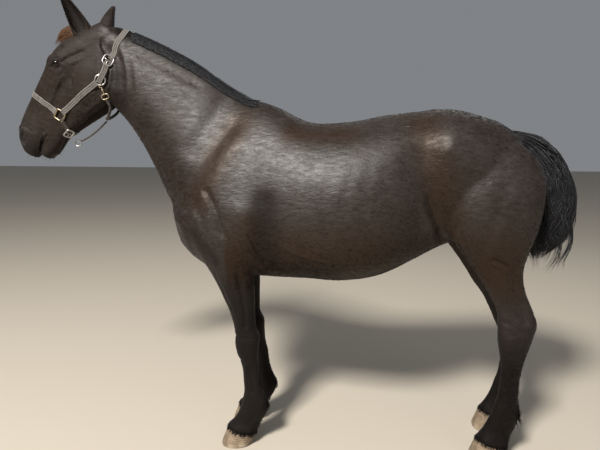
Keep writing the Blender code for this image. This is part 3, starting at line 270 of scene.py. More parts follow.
HEAD_STROKES = {
    "masseter": (0.010, 0.075, ((0.200, -0.110, 0.09), (0.270, -0.130, 0.09))),
    "cheekbone": (0.007, 0.020, ((0.270, 0.000, 0.10), (0.410, -0.012, 0.07))),
    "under_cheekbone": (-0.006, 0.024, ((0.330, -0.040, 0.08), (0.440, -0.045, 0.06))),
    "temple_hollow": (-0.010, 0.022, ((0.175, 0.060, 0.08), (0.205, 0.058, 0.08))),
    "brow_bone": (0.008, 0.022, ((0.205, 0.056, 0.09), (0.255, 0.068, 0.09))),
    "eye_socket": (-0.007, 0.020, ((0.240, 0.028, 0.10),)),
    "throat": (-0.016, 0.045, ((0.060, -0.150, 0.08), (0.150, -0.230, 0.07))),
    "nostril": (-0.016, 0.013, ((0.612, 0.040, 0.055), (0.640, 0.022, 0.050))),
    "nostril_rim": (0.004, 0.012, ((0.590, 0.052, 0.050), (0.600, 0.020, 0.055))),
    "mouth": (-0.005, 0.007, ((0.570, -0.054, 0.050), (0.690, -0.072, 0.020))),
    "mouth_front": (-0.005, 0.007, ((0.690, -0.072, 0.020), (0.700, -0.072, 0.0))),
    "lower_lip": (0.004, 0.020, ((0.640, -0.095, 0.030), (0.600, -0.105, 0.035))),
}

# Finer strokes, for the skin only
BODY_DETAIL = {
    "hip_softened": (-0.009, 0.034, ((0.600, 0.235, 1.400),)),
    "jugular": (-0.0084, 0.018, ((-0.720, 0.079, 1.465), (-0.674, 0.086, 1.376), (-0.600, 0.11, 1.24))),
    "throat_fold": (-0.0070, 0.010, ((-0.806, 0.066, 1.79), (-0.786, 0.080, 1.70), (-0.790, 0.07, 1.62))),
    "neck_fold": (-0.0042, 0.010, ((-0.764, 0.073, 1.77), (-0.750, 0.088, 1.68), (-0.750, 0.08, 1.58))),
    "under_crest": (-0.0042, 0.014, ((-0.780, 0.055, 1.82), (-0.620, 0.070, 1.75), (-0.450, 0.085, 1.67))),
    "breast_fold": (-0.0098, 0.014, ((-0.386, 0.223, 1.210), (-0.340, 0.243, 1.128), (-0.310, 0.249, 1.022))),
    "breast_fold_front": (-0.0056, 0.012, ((-0.44, 0.20, 1.17), (-0.40, 0.225, 1.08), (-0.375, 0.235, 1.00))),
    "elbow_fold": (-0.0070, 0.008, ((-0.230, 0.262, 1.047), (-0.192, 0.241, 0.959), (-0.149, 0.194, 0.884))),
    "elbow_wrinkle": (-0.0056, 0.007, ((-0.195, 0.258, 1.020), (-0.165, 0.240, 0.955), (-0.135, 0.20, 0.90))),
    "elbow_roll": (0.0056, 0.008, ((-0.212, 0.262, 1.035), (-0.178, 0.242, 0.957), (-0.142, 0.197, 0.892))),
    "flank_fold": (-0.0112, 0.018, ((0.548, 0.242, 1.183), (0.604, 0.190, 1.053), (0.625, 0.136, 1.001))),
    "flank_skin": (0.0070, 0.016, ((0.515, 0.250, 1.160), (0.570, 0.200, 1.040), (0.590, 0.140, 0.985))),
    "thigh_line": (-0.0040, 0.024, ((0.840, 0.260, 1.250), (0.800, 0.250, 1.080), (0.770, 0.220, 0.960))),
    "gaskin_fold": (-0.0084, 0.010, ((0.821, 0.235, 0.940), (0.856, 0.229, 0.919), (0.887, 0.223, 0.905))),
    "gaskin_roll": (0.0056, 0.010, ((0.821, 0.232, 0.922), (0.856, 0.226, 0.900), (0.890, 0.220, 0.885))),
    "belly_vein": (
        0.0042, 0.007,
        ((-0.10, 0.262, 1.00), (0.02, 0.262, 0.945), (0.14, 0.262, 0.915), (0.30, 0.25, 0.905)),
    ),
    "spine_groove": (-0.0070, 0.020, ((0.350, 0.0, 1.55), (0.600, 0.0, 1.57), (0.800, 0.0, 1.54))),
    "rib_1": (0.0010, 0.016, ((0.060, 0.29, 1.34), (-0.020, 0.28, 1.05))),
    "rib_2": (0.0010, 0.016, ((0.130, 0.30, 1.34), (0.055, 0.30, 1.05))),
    "rib_3": (0.0010, 0.016, ((0.200, 0.31, 1.34), (0.130, 0.31, 1.05))),
    "rib_4": (0.0010, 0.016, ((0.270, 0.30, 1.34), (0.210, 0.31, 1.07))),
    "rib_5": (0.0010, 0.016, ((0.340, 0.30, 1.34), (0.290, 0.30, 1.09))),
}
FORE_DETAIL = {
    "splint_groove": (-0.003, 0.007, ((-0.225, 0.146, 0.390), (-0.222, 0.145, 0.270))),
    "flexor": (0.002, 0.008, ((-0.185, 0.140, 0.410), (-0.178, 0.140, 0.280))),
    "over_knee": (-0.003, 0.008, ((-0.287, 0.118, 0.538), (-0.245, 0.166, 0.532), (-0.20, 0.165, 0.53))),
    "knee_line": (-0.002, 0.006, ((-0.280, 0.125, 0.470), (-0.240, 0.168, 0.462))),
    "under_knee": (-0.003, 0.008, ((-0.270, 0.118, 0.425), (-0.225, 0.162, 0.420))),
    "chestnut": (0.004, 0.010, ((-0.240, 0.068, 0.610), (-0.240, 0.068, 0.650))),
    "forearm_groove": (
        -0.006, 0.012,
        ((-0.262, 0.200, 0.880), (-0.236, 0.185, 0.720), (-0.228, 0.168, 0.590)),
    ),
    "forearm_front": (-0.004, 0.012, ((-0.340, 0.190, 0.850), (-0.290, 0.172, 0.680))),
    "forearm_vein": (0.002, 0.005, ((-0.310, 0.185, 0.790), (-0.275, 0.172, 0.660), (-0.255, 0.168, 0.57))),
    "pastern_hollow": (-0.003, 0.012, ((-0.190, 0.145, 0.160), (-0.215, 0.148, 0.120))),
    "fetlock_line": (-0.002, 0.007, ((-0.255, 0.135, 0.185), (-0.200, 0.150, 0.170))),
}
HIND_DETAIL = {
    "achilles": (0.003, 0.009, ((0.990, 0.140, 0.810), (1.012, 0.140, 0.690))),
    "gaskin_groove": (-0.006, 0.013, ((0.900, 0.205, 0.900), (0.930, 0.190, 0.780), (0.958, 0.180, 0.680))),
    "gaskin_front": (-0.003, 0.012, ((0.820, 0.200, 0.880), (0.865, 0.180, 0.740))),
    "hock_crease": (-0.004, 0.007, ((0.880, 0.165, 0.655), (0.930, 0.186, 0.640))),
    "hock_point": (0.004, 0.020, ((1.036, 0.138, 0.625),)),
    "hock_line": (-0.003, 0.008, ((0.890, 0.170, 0.520), (0.950, 0.184, 0.500), (1.0, 0.165, 0.500))),
    "splint_groove": (-0.003, 0.007, ((0.957, 0.168, 0.460), (0.946, 0.166, 0.300))),
    "pastern_hollow": (-0.003, 0.012, ((0.945, 0.168, 0.180), (0.925, 0.170, 0.140))),
    "chestnut": (0.004, 0.010, ((0.940, 0.088, 0.500), (0.942, 0.088, 0.530))),
}
HEAD_DETAIL = {
    "face_crest": (0.0045, 0.009, ((0.275, -0.022, 0.094), (0.330, -0.018, 0.082), (0.405, -0.016, 0.068))),
    "face_vein": (
        0.0024, 0.0042,
        ((0.262, -0.026, 0.094), (0.300, -0.036, 0.085), (0.345, -0.055, 0.074), (0.42, -0.060, 0.062)),
    ),
    "vein_branch": (0.0020, 0.0038, ((0.322, -0.012, 0.082), (0.351, -0.034, 0.070), (0.384, -0.040, 0.063))),
    "nose_vein": (0.0016, 0.0036, ((0.400, 0.020, 0.065), (0.450, 0.035, 0.056), (0.520, 0.030, 0.052))),
    "temple_groove": (
        -0.0065, 0.008,
        ((0.216, 0.004, 0.099), (0.192, -0.004, 0.097), (0.168, -0.020, 0.092), (0.131, -0.043, 0.085)),
    ),
    "cheek_arch": (0.004, 0.009, ((0.210, -0.026, 0.097), (0.165, -0.055, 0.090), (0.128, -0.075, 0.086))),
    "jaw_edge": (
        0.004, 0.011,
        ((0.130, -0.190, 0.074), (0.200, -0.220, 0.080), (0.280, -0.216, 0.083), (0.36, -0.178, 0.072)),
    ),
    "cheek_front": (-0.004, 0.010, ((0.262, -0.060, 0.090), (0.305, -0.100, 0.082), (0.345, -0.140, 0.076))),
    "nose_bone": (0.003, 0.009, ((0.270, 0.080, 0.078), (0.360, 0.080, 0.055), (0.470, 0.077, 0.042))),
    "nose_hollow": (-0.004, 0.012, ((0.300, 0.045, 0.085), (0.400, 0.040, 0.063), (0.510, 0.030, 0.052))),
    "mouth_slit": (
        -0.0075, 0.0034,
        ((0.556, -0.064, 0.048), (0.592, -0.060, 0.036), (0.650, -0.064, 0.018), (0.690, -0.072, 0.012)),
    ),
    "upper_lip": (
        0.0034, 0.0048,
        ((0.562, -0.048, 0.050), (0.600, -0.048, 0.040), (0.650, -0.052, 0.024), (0.690, -0.060, 0.012)),
    ),
    "lower_lip": (
        0.0040, 0.0050,
        ((0.562, -0.078, 0.046), (0.600, -0.074, 0.036), (0.650, -0.078, 0.018), (0.680, -0.085, 0.010)),
    ),
    "lip_fold": (-0.003, 0.004, ((0.548, -0.040, 0.047), (0.556, -0.060, 0.047), (0.560, -0.080, 0.043))),
    "chin": (0.005, 0.018, ((0.612, -0.124, 0.010),)),
    "nostril_fold": (-0.002, 0.0055, ((0.588, 0.056, 0.046), (0.574, 0.030, 0.052), (0.580, 0.000, 0.052))),
    "nose_wrinkle": (-0.0016, 0.0035, ((0.566, 0.040, 0.050), (0.560, 0.015, 0.053), (0.566, -0.010, 0.052))),
    "brow_fold": (0.003, 0.006, ((0.200, 0.056, 0.094), (0.232, 0.070, 0.090), (0.266, 0.070, 0.085))),
    "brow_line": (-0.0025, 0.0035, ((0.205, 0.046, 0.098), (0.228, 0.058, 0.094), (0.258, 0.060, 0.090))),
    "tear_line": (-0.0025, 0.005, ((0.262, 0.040, 0.092), (0.290, 0.028, 0.086), (0.32, 0.020, 0.08))),
    "poll_fold": (-0.004, 0.007, ((0.040, -0.080, 0.072), (0.080, -0.125, 0.072), (0.100, -0.170, 0.068))),
}


# ---------------------------------------------------------------- paths and lofts
def head_turn():
    """Columns: the ways along the face, above its axis and to the side."""
    c, s = math.cos(HEAD_TILT), math.sin(HEAD_TILT)
    return np.array(Matrix(((-c, -s, 0), (0, 0, 1), (-s, c, 0))))


HEAD_TURN = head_turn()
SIDES = {"left": -1, "right": 1}


def unit(vectors):
    """Vectors made one long."""
    vectors = np.asarray(vectors, float)
    return vectors / np.maximum(np.linalg.norm(vectors, axis=-1, keepdims=True), TINY)


def level_with(ways, normals):
    """Ways without the part of them that points along the normals."""
    return ways - normals * (ways * normals).sum(-1, keepdims=True)


def softened(line, rounds=1):
    """A line with its inner points drawn towards their neighbours."""
    for _ in range(rounds):
        line[1:-1] = (line[:-2] + 2 * line[1:-1] + line[2:]) / 4
    return line


def smooth_step(t):
    t = np.clip(t, 0, 1)
    return t * t * (3 - 2 * t)


def ramp(z, low, high):
    """0 above high, 1 below low, and smooth between."""
    return smooth_step((high - z) / (high - low))


def to_head(points):
    """World points in the head's frame: along the face, above its axis, side."""
    return (np.asarray(points) - np.array(POLL)) @ HEAD_TURN


def from_head(places, flip=1):
    """Places in the head's frame, in the world; flip -1 mirrors them to the left."""
    return np.atleast_2d(places) * (1.0, 1.0, flip) @ HEAD_TURN.T + np.array(POLL)


def full(section):
    """All eight numbers of a section, with defaults for those it leaves out."""
    front, back, half_width, *rest = section
    side, square, egg = (list(rest) + [0.0, 2.2, 0.0][len(rest) :])[:3]
    return [*front, *back, half_width, side, square, egg]


def curved(rows, middles, spacing, least):
    """Rows of numbers along a smooth curve through the given ones, at even steps."""
    step = np.linalg.norm(np.diff(middles, axis=0), axis=1)
    at = np.concatenate([[0], np.cumsum(np.maximum(step, 1e-6))])
    slope = np.gradient(rows, at, axis=0)
    t = np.linspace(0, at[-1], max(int(at[-1] / spacing), least) + 1)
    i = np.clip(np.searchsorted(at, t, side="right") - 1, 0, len(at) - 2)
    width = (at[i + 1] - at[i])[:, None]
    u = (t - at[i])[:, None] / width
    return (
        (2 * u**3 - 3 * u**2 + 1) * rows[i]
        + (u**3 - 2 * u**2 + u) * width * slope[i]
        + (3 * u**2 - 2 * u**3) * rows[i + 1]
        + (u**3 - u**2) * width * slope[i + 1]
    )


def through(sections, spacing):
    """Rows of numbers drawn as smooth curves through the named sections."""
    rows = np.array([full(section) for section in sections.values()])
    return curved(rows, (rows[:, 0:2] + rows[:, 2:4]) / 2, spacing, len(rows))


def smooth_path(points, spacing):
    """Points at even steps along a curve through the given ones."""
    rows = np.array(points, float)
    return curved(rows, rows, spacing, 2)


def ring(row, sides):
    """Points round one section: a rounded egg between its two end points."""
    ax, az, bx, bz, half_width, side, square, egg = row
    turn = np.linspace(0, 2 * math.pi, sides, endpoint=False)
    c, s = np.cos(turn), np.sin(turn)
    c = np.sign(c) * np.abs(c) ** (2 / square)
    s = np.sign(s) * np.abs(s) ** (2 / square)
    x = (ax + bx) / 2 + (ax - bx) / 2 * c
    z = (az + bz) / 2 + (az - bz) / 2 * c
    return np.stack([x, side + half_width * s * (1 + egg * c), z], axis=1)


def loft_faces(count, sides, closed=False):
    """Faces between rings of points, and the fans over the first and the last ring."""
    start = np.arange(count if closed else count - 1)[:, None]
    a, b = start * sides, (start + 1) % count * sides
    k = np.arange(sides)
    n = (k + 1) % sides
    quads = np.stack([a + k, a + n, b + n, b + k], -1).reshape(-1, 4)
    if closed:
        return quads, np.zeros((0, 3), int)
    k = k[1:-1]
    fan = np.stack([0 * k, k + 1, k], 1)
    return quads, np.concatenate([fan, (count - 1) * sides + fan[:, [0, 2, 1]]])


def tube(rings):
    """Vertices and outward faces of a closed loft through rings."""
    count, sides = len(rings), len(rings[0])
    points = np.concatenate([*rings, [rings[0].mean(0)], [rings[-1].mean(0)]])
    quads, _ = loft_faces(count, sides)
    faces = [tuple(quad) for quad in quads]
    last = (count - 1) * sides
    for k in range(sides):
        faces.append((count * sides, (k + 1) % sides, k))
        faces.append((count * sides + 1, last + k, last + (k + 1) % sides))
    corners = (points - points.mean(0))[quads]
    if (corners[:, 0] * np.cross(corners[:, 1], corners[:, 2])).sum() < 0:
        faces = [face[::-1] for face in faces]
    return points, faces


def loft_rings(sections, spacing, sides, in_head=False):
    """Rings of points through named sections, on the right, in the world."""
    rings = [ring(row, sides) for row in through(sections, spacing)]
    if in_head:
        rings = [from_head(points[:, [0, 2, 1]]) for points in rings]
    return rings


def limb(sections, spacing=0.02, sides=32, flip=1, shift=None, in_head=False):
    """A loft through named sections, on the left (flip -1) or the right."""
    rings = loft_rings(sections, spacing, sides, in_head)
    for points in rings:
        points[:, 1] *= flip
        if shift:
            points[:, 0] += shift(points[:, 2])
    return tube(rings)


def far_fore(z):
    return -0.020 + 0.030 * ramp(z, 0.30, 0.60)


def far_hind(z):
    return 0.085 * ramp(z, 0.47, 0.78)


FAR = {"fore": far_fore, "hind": far_hind}  # how far the right legs stand behind the left


def joined(shapes):
    points, faces, start = [], [], 0
    for shape_points, shape_faces in shapes:
        points.append(shape_points)
        faces += [tuple(start + k for k in face) for face in shape_faces]
        start += len(shape_points)
    return np.concatenate(points), faces


def read(elements, title, width, kind=np.float32):
    """One property of a mesh's elements as an array."""
    found = np.empty(len(elements) * width, kind)
    elements.foreach_get(title, found)
    return found.reshape(-1, width) if width > 1 else found


def coordinates(mesh):
    return read(mesh.vertices, "co", 3, float)


def normals_of(mesh):
    return read(mesh.vertex_normals, "vector", 3).astype(float)


def place(mesh, points):
    mesh.vertices.foreach_set("co", points.ravel())
    mesh.update()


def edges_of(mesh):
    return read(mesh.edges, "vertices", 2, np.int64)


def relaxed(points, ends, weight, rounds):
    """Smoothed without shrinking, by as much as each point's weight."""
    count = len(points)
    near = np.bincount(ends.ravel(), minlength=count)[:, None]
    first, second = ends.T
    for _ in range(rounds):
        for strength in (0.50, -0.52):
            total = [
                np.bincount(first, axis[second], count) + np.bincount(second, axis[first], count)
                for axis in points.T
            ]
            points = points + strength * weight * (np.stack(total, 1) / near - points)
    return points


def trimmed(path, normals, start, end):
    """The stretch of a path that stays these distances off its two ends."""
    from_start = np.linalg.norm(path - path[0], axis=1)
    from_end = np.linalg.norm(path - path[-1], axis=1)
    keep = (from_start >= start) & (from_end >= end)
    return path[keep], normals[keep]


RNG = np.random.default_rng(7)
COLLECTION = bpy.context.scene.collection


# ---------------------------------------------------------------- meshes and strokes
def new_mesh(name, points, corners, sizes, look=None):
    """An object whose faces have these corners, taken in turn, and these sizes."""
    mesh = bpy.data.meshes.new(name)
    mesh.vertices.add(len(points))
    mesh.vertices.foreach_set("co", np.asarray(points, np.float32).ravel())
    mesh.loops.add(len(corners))
    mesh.loops.foreach_set("vertex_index", corners.astype(np.int32))
    mesh.polygons.add(len(sizes))
    mesh.polygons.foreach_set("loop_start", (np.cumsum(sizes) - sizes).astype(np.int32))
    mesh.update(calc_edges=True)
    if look:
        mesh.materials.append(look)
    item = bpy.data.objects.new(name, mesh)
    COLLECTION.objects.link(item)
    return item


def mesh_object(name, points, faces, look=None):
    sizes = np.array([len(face) for face in faces])
    return new_mesh(name, points, np.concatenate([np.asarray(face) for face in faces]), sizes, look)


def quick_mesh(name, points, quads, tris, look):
    """A smooth mesh of four- and three-cornered faces given as arrays, and its corners."""
    corners = np.concatenate([np.ravel(quads), np.ravel(tris)]).astype(np.int32)
    sizes = np.repeat([4, 3], [len(quads), len(tris)])
    item = new_mesh(name, points, corners, sizes, look)
    item.data.shade_smooth()
    return item, corners


@contextmanager
def opened(item):
    """The object's mesh, open for bmesh operators."""
    work = bmesh.new()
    work.from_mesh(item.data)
    yield work
    work.to_mesh(item.data)
    work.free()


def set_vectors(item, name, values):
    layer = item.data.attributes.new(name, "FLOAT_VECTOR", "POINT")
    layer.data.foreach_set("vector", np.asarray(values, np.float32).ravel())


def set_places(item, name, places, corners):
    """A UV map that gives each corner its vertex's place."""
    layer = item.data.uv_layers.new(name=name)
    layer.uv.foreach_set("vector", places[corners].astype(np.float32).ravel())


def applied(item):
    """The object with its modifiers worked into its mesh."""
    graph = bpy.context.evaluated_depsgraph_get()
    mesh = bpy.data.meshes.new_from_object(item.evaluated_get(graph))
    item.modifiers.clear()
    old, item.data = item.data, mesh
    bpy.data.meshes.remove(old)
    return item


def stroke_push(points, path, radius):
    """Bell-shaped weight of each point round a path, zero far from it."""
    push = np.zeros(len(points))
    low, high = path.min(0) - 2.2 * radius, path.max(0) + 2.2 * radius
    near = np.all((points > low) & (points < high), axis=1)
    if near.any():
        away = distance_to_path(points[near], path)
        push[near] = np.exp(-((away / radius) ** 2) * 1.6)
    return push


def distance_to_path(points, path):
    if len(path) == 1:
        return np.linalg.norm(points - path[0], axis=1)
    best = np.full(len(points), np.inf)
    for a, b in zip(path[:-1], path[1:]):
        run = b - a
        t = np.clip((points - a) @ run / (run @ run), 0, 1)
        best = np.minimum(best, np.linalg.norm(points - a - t[:, None] * run, axis=1))
    return best


def stroke_path(path, flip, shift, in_head):
    if in_head:
        return from_head(path, flip)
    path = np.array(path, float) * (1, flip, 1)
    if shift:
        path[:, 0] += shift(path[:, 2])
    return path


def snapped(line, points):
    """A path resampled closely and moved onto the nearest points of the surface."""
    if len(line) > 1:
        line = smooth_path(line, 0.006)
    low, high = line.min(0) - 0.06, line.max(0) + 0.06
    near = points[np.all((points > low) & (points < high), axis=1)]
    return softened(np.array([near[np.argmin(((near - p) ** 2).sum(1))] for p in line]), 2)


def moulded(points, normals, strokes, flips=(-1, 1), shift=None, in_head=False, fine=False):
    """Points pushed in or out along their normals round each stroke's path."""
    push = np.zeros(len(points))
    for height, radius, path in strokes.values():
        for flip in flips:
            line = stroke_path(path, flip, shift, in_head)
            if fine:
                line = snapped(line, points)
            share = 0.5 if np.allclose(line[:, 1], 0) else 1.0
            push += share * height * stroke_push(points, line, radius)
    return points + normals * push[:, None]


def refined(item, chosen):
    """Faces picked by chosen(centres) cut in four."""
    picked = chosen(read(item.data.polygons, "center", 3).astype(float))
    with opened(item) as work:
        work.faces.ensure_lookup_table()
        edges = {e for f in np.nonzero(picked)[0] for e in work.faces[f].edges}
        bmesh.ops.subdivide_edges(work, edges=list(edges), cuts=1, use_grid_fill=True)


# ---------------------------------------------------------------- skin
def base_surface():
    """The flesh as in the solids, on a finer grid."""
    near, fore, hind = {"flip": -1}, {"shift": far_fore}, {"shift": far_hind}
    fine = {"sides": 40, "spacing": 0.01}
    shapes = [
        limb(TRUNK, sides=64),
        limb(NECK, sides=56),
        limb(SKULL, in_head=True, sides=48, spacing=0.01),
        limb(JAW, in_head=True, **fine),
        limb(JAW, in_head=True, **near, **fine),
        limb(FORE_LEG, **near, **fine),
        limb(FORE_LEG, **fore, **fine),
        limb(HIND_LEG, **near, **fine),
        limb(HIND_LEG, **hind, **fine),
    ]
    body = mesh_object("skin", *joined(shapes))
    remesh = body.modifiers.new("merge", "REMESH")
    remesh.mode = "VOXEL"
    remesh.voxel_size = VOXEL
    applied(body)
    mesh = body.data
    points = coordinates(mesh)
    slender = ramp(points[:, 2], 0.60, 0.95)
    facial = np.clip((-0.80 - points[:, 0]) / 0.12, 0, 1)
    weight = (1 - 0.85 * np.maximum(slender, facial))[:, None]
    rounds = round(24 * (0.01 / VOXEL) ** 1.6)
    place(mesh, relaxed(points, edges_of(mesh), weight, rounds))
    points = coordinates(mesh)
    local = to_head(points)
    away = np.hypot((local[:, 0] - 0.115) / 0.085, (local[:, 1] + 0.095) / 0.075)
    jowl = (1 - smooth_step(away - 0.35))[:, None] * (points[:, :1] < -0.80)
    place(mesh, relaxed(points, edges_of(mesh), jowl, 30))
    left, right = {"flips": (-1,)}, {"flips": (1,)}
    for body_strokes, fore_strokes, hind_strokes, more in (
        (BODY_STROKES, FORE_STROKES, HIND_STROKES, {}),
        (BODY_DETAIL, FORE_DETAIL, HIND_DETAIL, {"fine": True}),
    ):
        for strokes, choice in (
            (body_strokes, {}),
            (fore_strokes, left),
            (fore_strokes, right | fore),
            (hind_strokes, left),
            (hind_strokes, right | hind),
        ):
            mould(mesh, strokes, **choice, **more)
        if not more:
            mould(mesh, HEAD_STROKES, in_head=True)
    return body


def mould(mesh, strokes, **choice):
    place(mesh, moulded(coordinates(mesh), normals_of(mesh), strokes, **choice))


EYE_LEAN = 33  # degrees of the corner nearest the nose above the face's line
LID_HALF = 0.0240  # half length of the opening
LID_UP, LID_LOW = 0.0148, 0.0115
LID_THICK = 0.0028
BODY_EDGE, LEG_EDGE, FACE_EDGE, MUZZLE_EDGE, EYE_EDGE = 0.0125, 0.0075, 0.0046, 0.0027, 0.0014


def eye_axes(flip):
    """Centre, long axis, upward axis and outward axis of an eye, in the world."""
    out = unit(HEAD_TURN @ np.array([0.20, 0.10, flip * 1.0]))
    lean = math.radians(EYE_LEAN)
    long = unit(level_with(HEAD_TURN @ np.array([math.cos(lean), math.sin(lean), 0.0]), out))
    return from_head(EYE_PLACE, flip)[0], long, np.cross(out, long) * -flip, out


def eye_distance(points):
    """How far each point is from the nearer eye's centre."""
    return np.min([np.linalg.norm(points - from_head(EYE_PLACE, flip), axis=1) for flip in (-1, 1)], axis=0)


def lid_distance(u, v):
    """How far a place on the eyeball is outside the opening (negative inside)."""
    share = np.clip(np.abs(u) / LID_HALF, 0, 1)
    skew = 1 + 0.18 * np.clip(u / LID_HALF, -1, 1)
    top = LID_UP * skew * (1 - share**2.1)
    low = -LID_LOW * (1 - share**1.9)
    inside = np.maximum(v - top, low - v) * 0.92
    past = np.hypot(np.maximum(np.abs(u) - LID_HALF, 0), v)
    return np.where(np.abs(u) < LID_HALF, inside, np.maximum(past, inside))


def shape_lids(points):
    """Skin drawn over the eyeballs as lids, with a fold above and a bag below."""
    for flip in (-1, 1):
        centre, long, up, out = eye_axes(flip)
        rel = points - centre
        near = (np.linalg.norm(rel, axis=1) < 0.060) & (rel @ out > -0.004)
        rel = rel[near]
        length = np.linalg.norm(rel, axis=1)
        way = unit(rel)
        tilt = np.arccos(np.clip(way @ out, -1, 1))
        arc = EYE_RADIUS * tilt / np.maximum(np.sin(tilt), 1e-6)
        u, v = way @ long * arc, way @ up * arc
        gap = lid_distance(u, v)
        lid = EYE_RADIUS + 0.0003 + LID_THICK * (1 - np.exp(-np.maximum(gap, 0) / 0.0011))
        fold = np.exp(-(((gap - 0.0062) / 0.0013) ** 2))
        lid = lid - 0.0012 * fold * (v > 0) - 0.0006 * fold * (v < 0)
        lid = np.where(gap < 0, EYE_RADIUS - 0.0035, lid)
        spread = np.linalg.norm(np.stack([rel @ long, rel @ up], 1), axis=1)
        blend = 1 - smooth_step((spread - 0.016) / 0.020)
        blend = np.where((gap < 0.0015) & (tilt < 1.4), 1.0, blend)
        radius = length + (lid - length) * blend
        points[near] = centre + way * radius[:, None]
    return points


NOSTRIL = ((0.600, 0.060, 0.040), (0.612, 0.044, 0.046), (0.630, 0.024, 0.049), (0.648, 0.004, 0.048))


def shape_nostrils(points, normals):
    """A comma-shaped hollow with a raised rim on each side of the muzzle."""
    local = to_head(points)
    push = np.zeros_like(points)
    for flip in (-1, 1):
        line = from_head(NOSTRIL, flip)
        near = np.linalg.norm(points - line.mean(0), axis=1) < 0.07
        away = distance_to_path(points[near], line)
        hole = 1 - smooth_step((away - 0.0045) / 0.0065)
        rim = np.exp(-(((away - 0.0130) / 0.0040) ** 2))
        behind = np.clip((0.640 - local[near, 0]) / 0.03, 0, 1)
        inward = HEAD_TURN @ (-0.55, -0.10, -0.75 * flip)
        push[near] += hole[:, None] * inward * 0.017
        push[near] += normals[near] * (rim * (0.0008 + 0.0024 * behind))[:, None]
    return points + push


def near_muzzle(centres):
    return to_head(centres)[:, 0] > 0.545


def near_eyes(centres):
    return eye_distance(centres) < 0.036


def on_face(centres):
    local = to_head(centres)
    return (local[:, 0] > 0.01) & (centres[:, 0] < -0.83)


def wanted_length(points):
    """The edge length that each part of the skin should keep."""
    length = BODY_EDGE - (BODY_EDGE - LEG_EDGE) * ramp(points[:, 2], 0.62, 0.95)
    length = np.where(on_face(points), FACE_EDGE, length)
    length = np.where(near_muzzle(points), MUZZLE_EDGE, length)
    return np.minimum(length, EYE_EDGE + 0.10 * np.maximum(eye_distance(points) - LID_HALF, 0))


def skin():
    body = base_surface()
    refined(body, on_face)
    refined(body, lambda c: near_muzzle(c) | near_eyes(c))
    mesh = body.data
    relax(mesh, on_face, 8)
    mould(mesh, HEAD_DETAIL, in_head=True, fine=True)
    place(mesh, shape_nostrils(coordinates(mesh), normals_of(mesh)))
    refined(body, near_eyes)
    mesh = body.data
    relax(mesh, near_eyes, 6)
    place(mesh, coordinates(mesh) - normals_of(mesh) * COAT_DEPTH)
    place(mesh, shape_lids(coordinates(mesh)))
    thin(body, SKIN_TRIANGLES)
    body.data.shade_smooth()
    return body


def relax(mesh, chosen, rounds):
    points = coordinates(mesh)
    place(mesh, relaxed(points, edges_of(mesh), chosen(points).astype(float)[:, None], rounds))


def thin(body, triangles):
    """Fewer triangles, each part keeping the edge length wanted there."""
    points = coordinates(body.data)
    share = EYE_EDGE / wanted_length(points)
    group = body.vertex_groups.new(name="plain")
    levels = np.round((1 - share) * 50).astype(int)
    for level in np.unique(levels):
        chosen = np.nonzero(levels == level)[0].tolist()
        group.add(chosen, float(level) / 50, "REPLACE")
    fewer = body.modifiers.new("thin", "DECIMATE")
    sizes = read(body.data.polygons, "loop_total", 1, np.int32)
    fewer.ratio = triangles / float((sizes - 2).sum())
    fewer.vertex_group = "plain"
    fewer.vertex_group_factor = 0.02
    fewer.use_collapse_triangulate = True
    return applied(body)


# ---------------------------------------------------------------- camera and light
CAMERA_YAW = math.radians(4.7)
CAMERA_PITCH = math.radians(8.4)
CAMERA_ROLL = math.radians(0.4)
CAMERA_AWAY, CAMERA_HEIGHT = 2.265, 1.369
CAMERA_LENS = 29.4
FLOOR_HALF = 40.0
LIGHTS = (  # name, place, size, power, colour
    ("key", (-2.5, -6.0, 7.1), 1.6, 1800, (1.0, 0.965, 0.91)),
    ("fill", (3.8, -4.2, 3.0), 3.0, 30, (0.92, 0.96, 1.0)),
    ("back", (1.5, 4.0, 4.0), 3.0, 32, (1.0, 0.98, 0.95)),
)


def camera():
    data = bpy.data.cameras.new("camera")
    data.lens = CAMERA_LENS
    data.sensor_width = 36
    item = bpy.data.objects.new("camera", data)
    COLLECTION.objects.link(item)
    yaw, pitch, roll = CAMERA_YAW, CAMERA_PITCH, CAMERA_ROLL
    ahead = Vector((-math.sin(yaw) * math.cos(pitch), math.cos(yaw) * math.cos(pitch), -math.sin(pitch)))
    right = Vector((math.cos(yaw), math.sin(yaw), 0))
    up = right.cross(ahead)
    turned = right * math.cos(roll) + up * math.sin(roll)
    up = up * math.cos(roll) - right * math.sin(roll)
    turn = Matrix((turned, up, -ahead)).transposed().to_4x4()
    spot = (CAMERA_AWAY * math.sin(yaw) - MIDDLE_X, -CAMERA_AWAY * math.cos(yaw), CAMERA_HEIGHT)
    item.matrix_world = Matrix.Translation(spot) @ turn
    bpy.context.scene.camera = item


def studio():
    corners = [(x * FLOOR_HALF, y * FLOOR_HALF, 0) for x, y in ((-1, -1), (1, -1), (1, 1), (-1, 1))]
    look = Look("floor").finish((0.43, 0.385, 0.32), 0.9)
    floor = mesh_object("floor", corners, [(0, 1, 2, 3)], look)
    world = bpy.data.worlds.new("world")
    bpy.context.scene.world = world
    world.use_nodes = True
    sky = world.node_tree.nodes["Background"]
    sky.inputs["Color"].default_value = (0.90, 0.94, 1.0, 1)
    sky.inputs["Strength"].default_value = 0.24
    for name, spot, size, power, tint in LIGHTS:
        lamp = bpy.data.lights.new(name, "AREA")
        lamp.size, lamp.energy, lamp.color = size, power, tint
        item = bpy.data.objects.new(name, lamp)
        item.location = spot
        item.rotation_euler = (Vector((0, 0, 1.0)) - Vector(spot)).to_track_quat("-Z", "Y").to_euler()
        COLLECTION.objects.link(item)
    bpy.context.scene.view_settings.view_transform = "Standard"


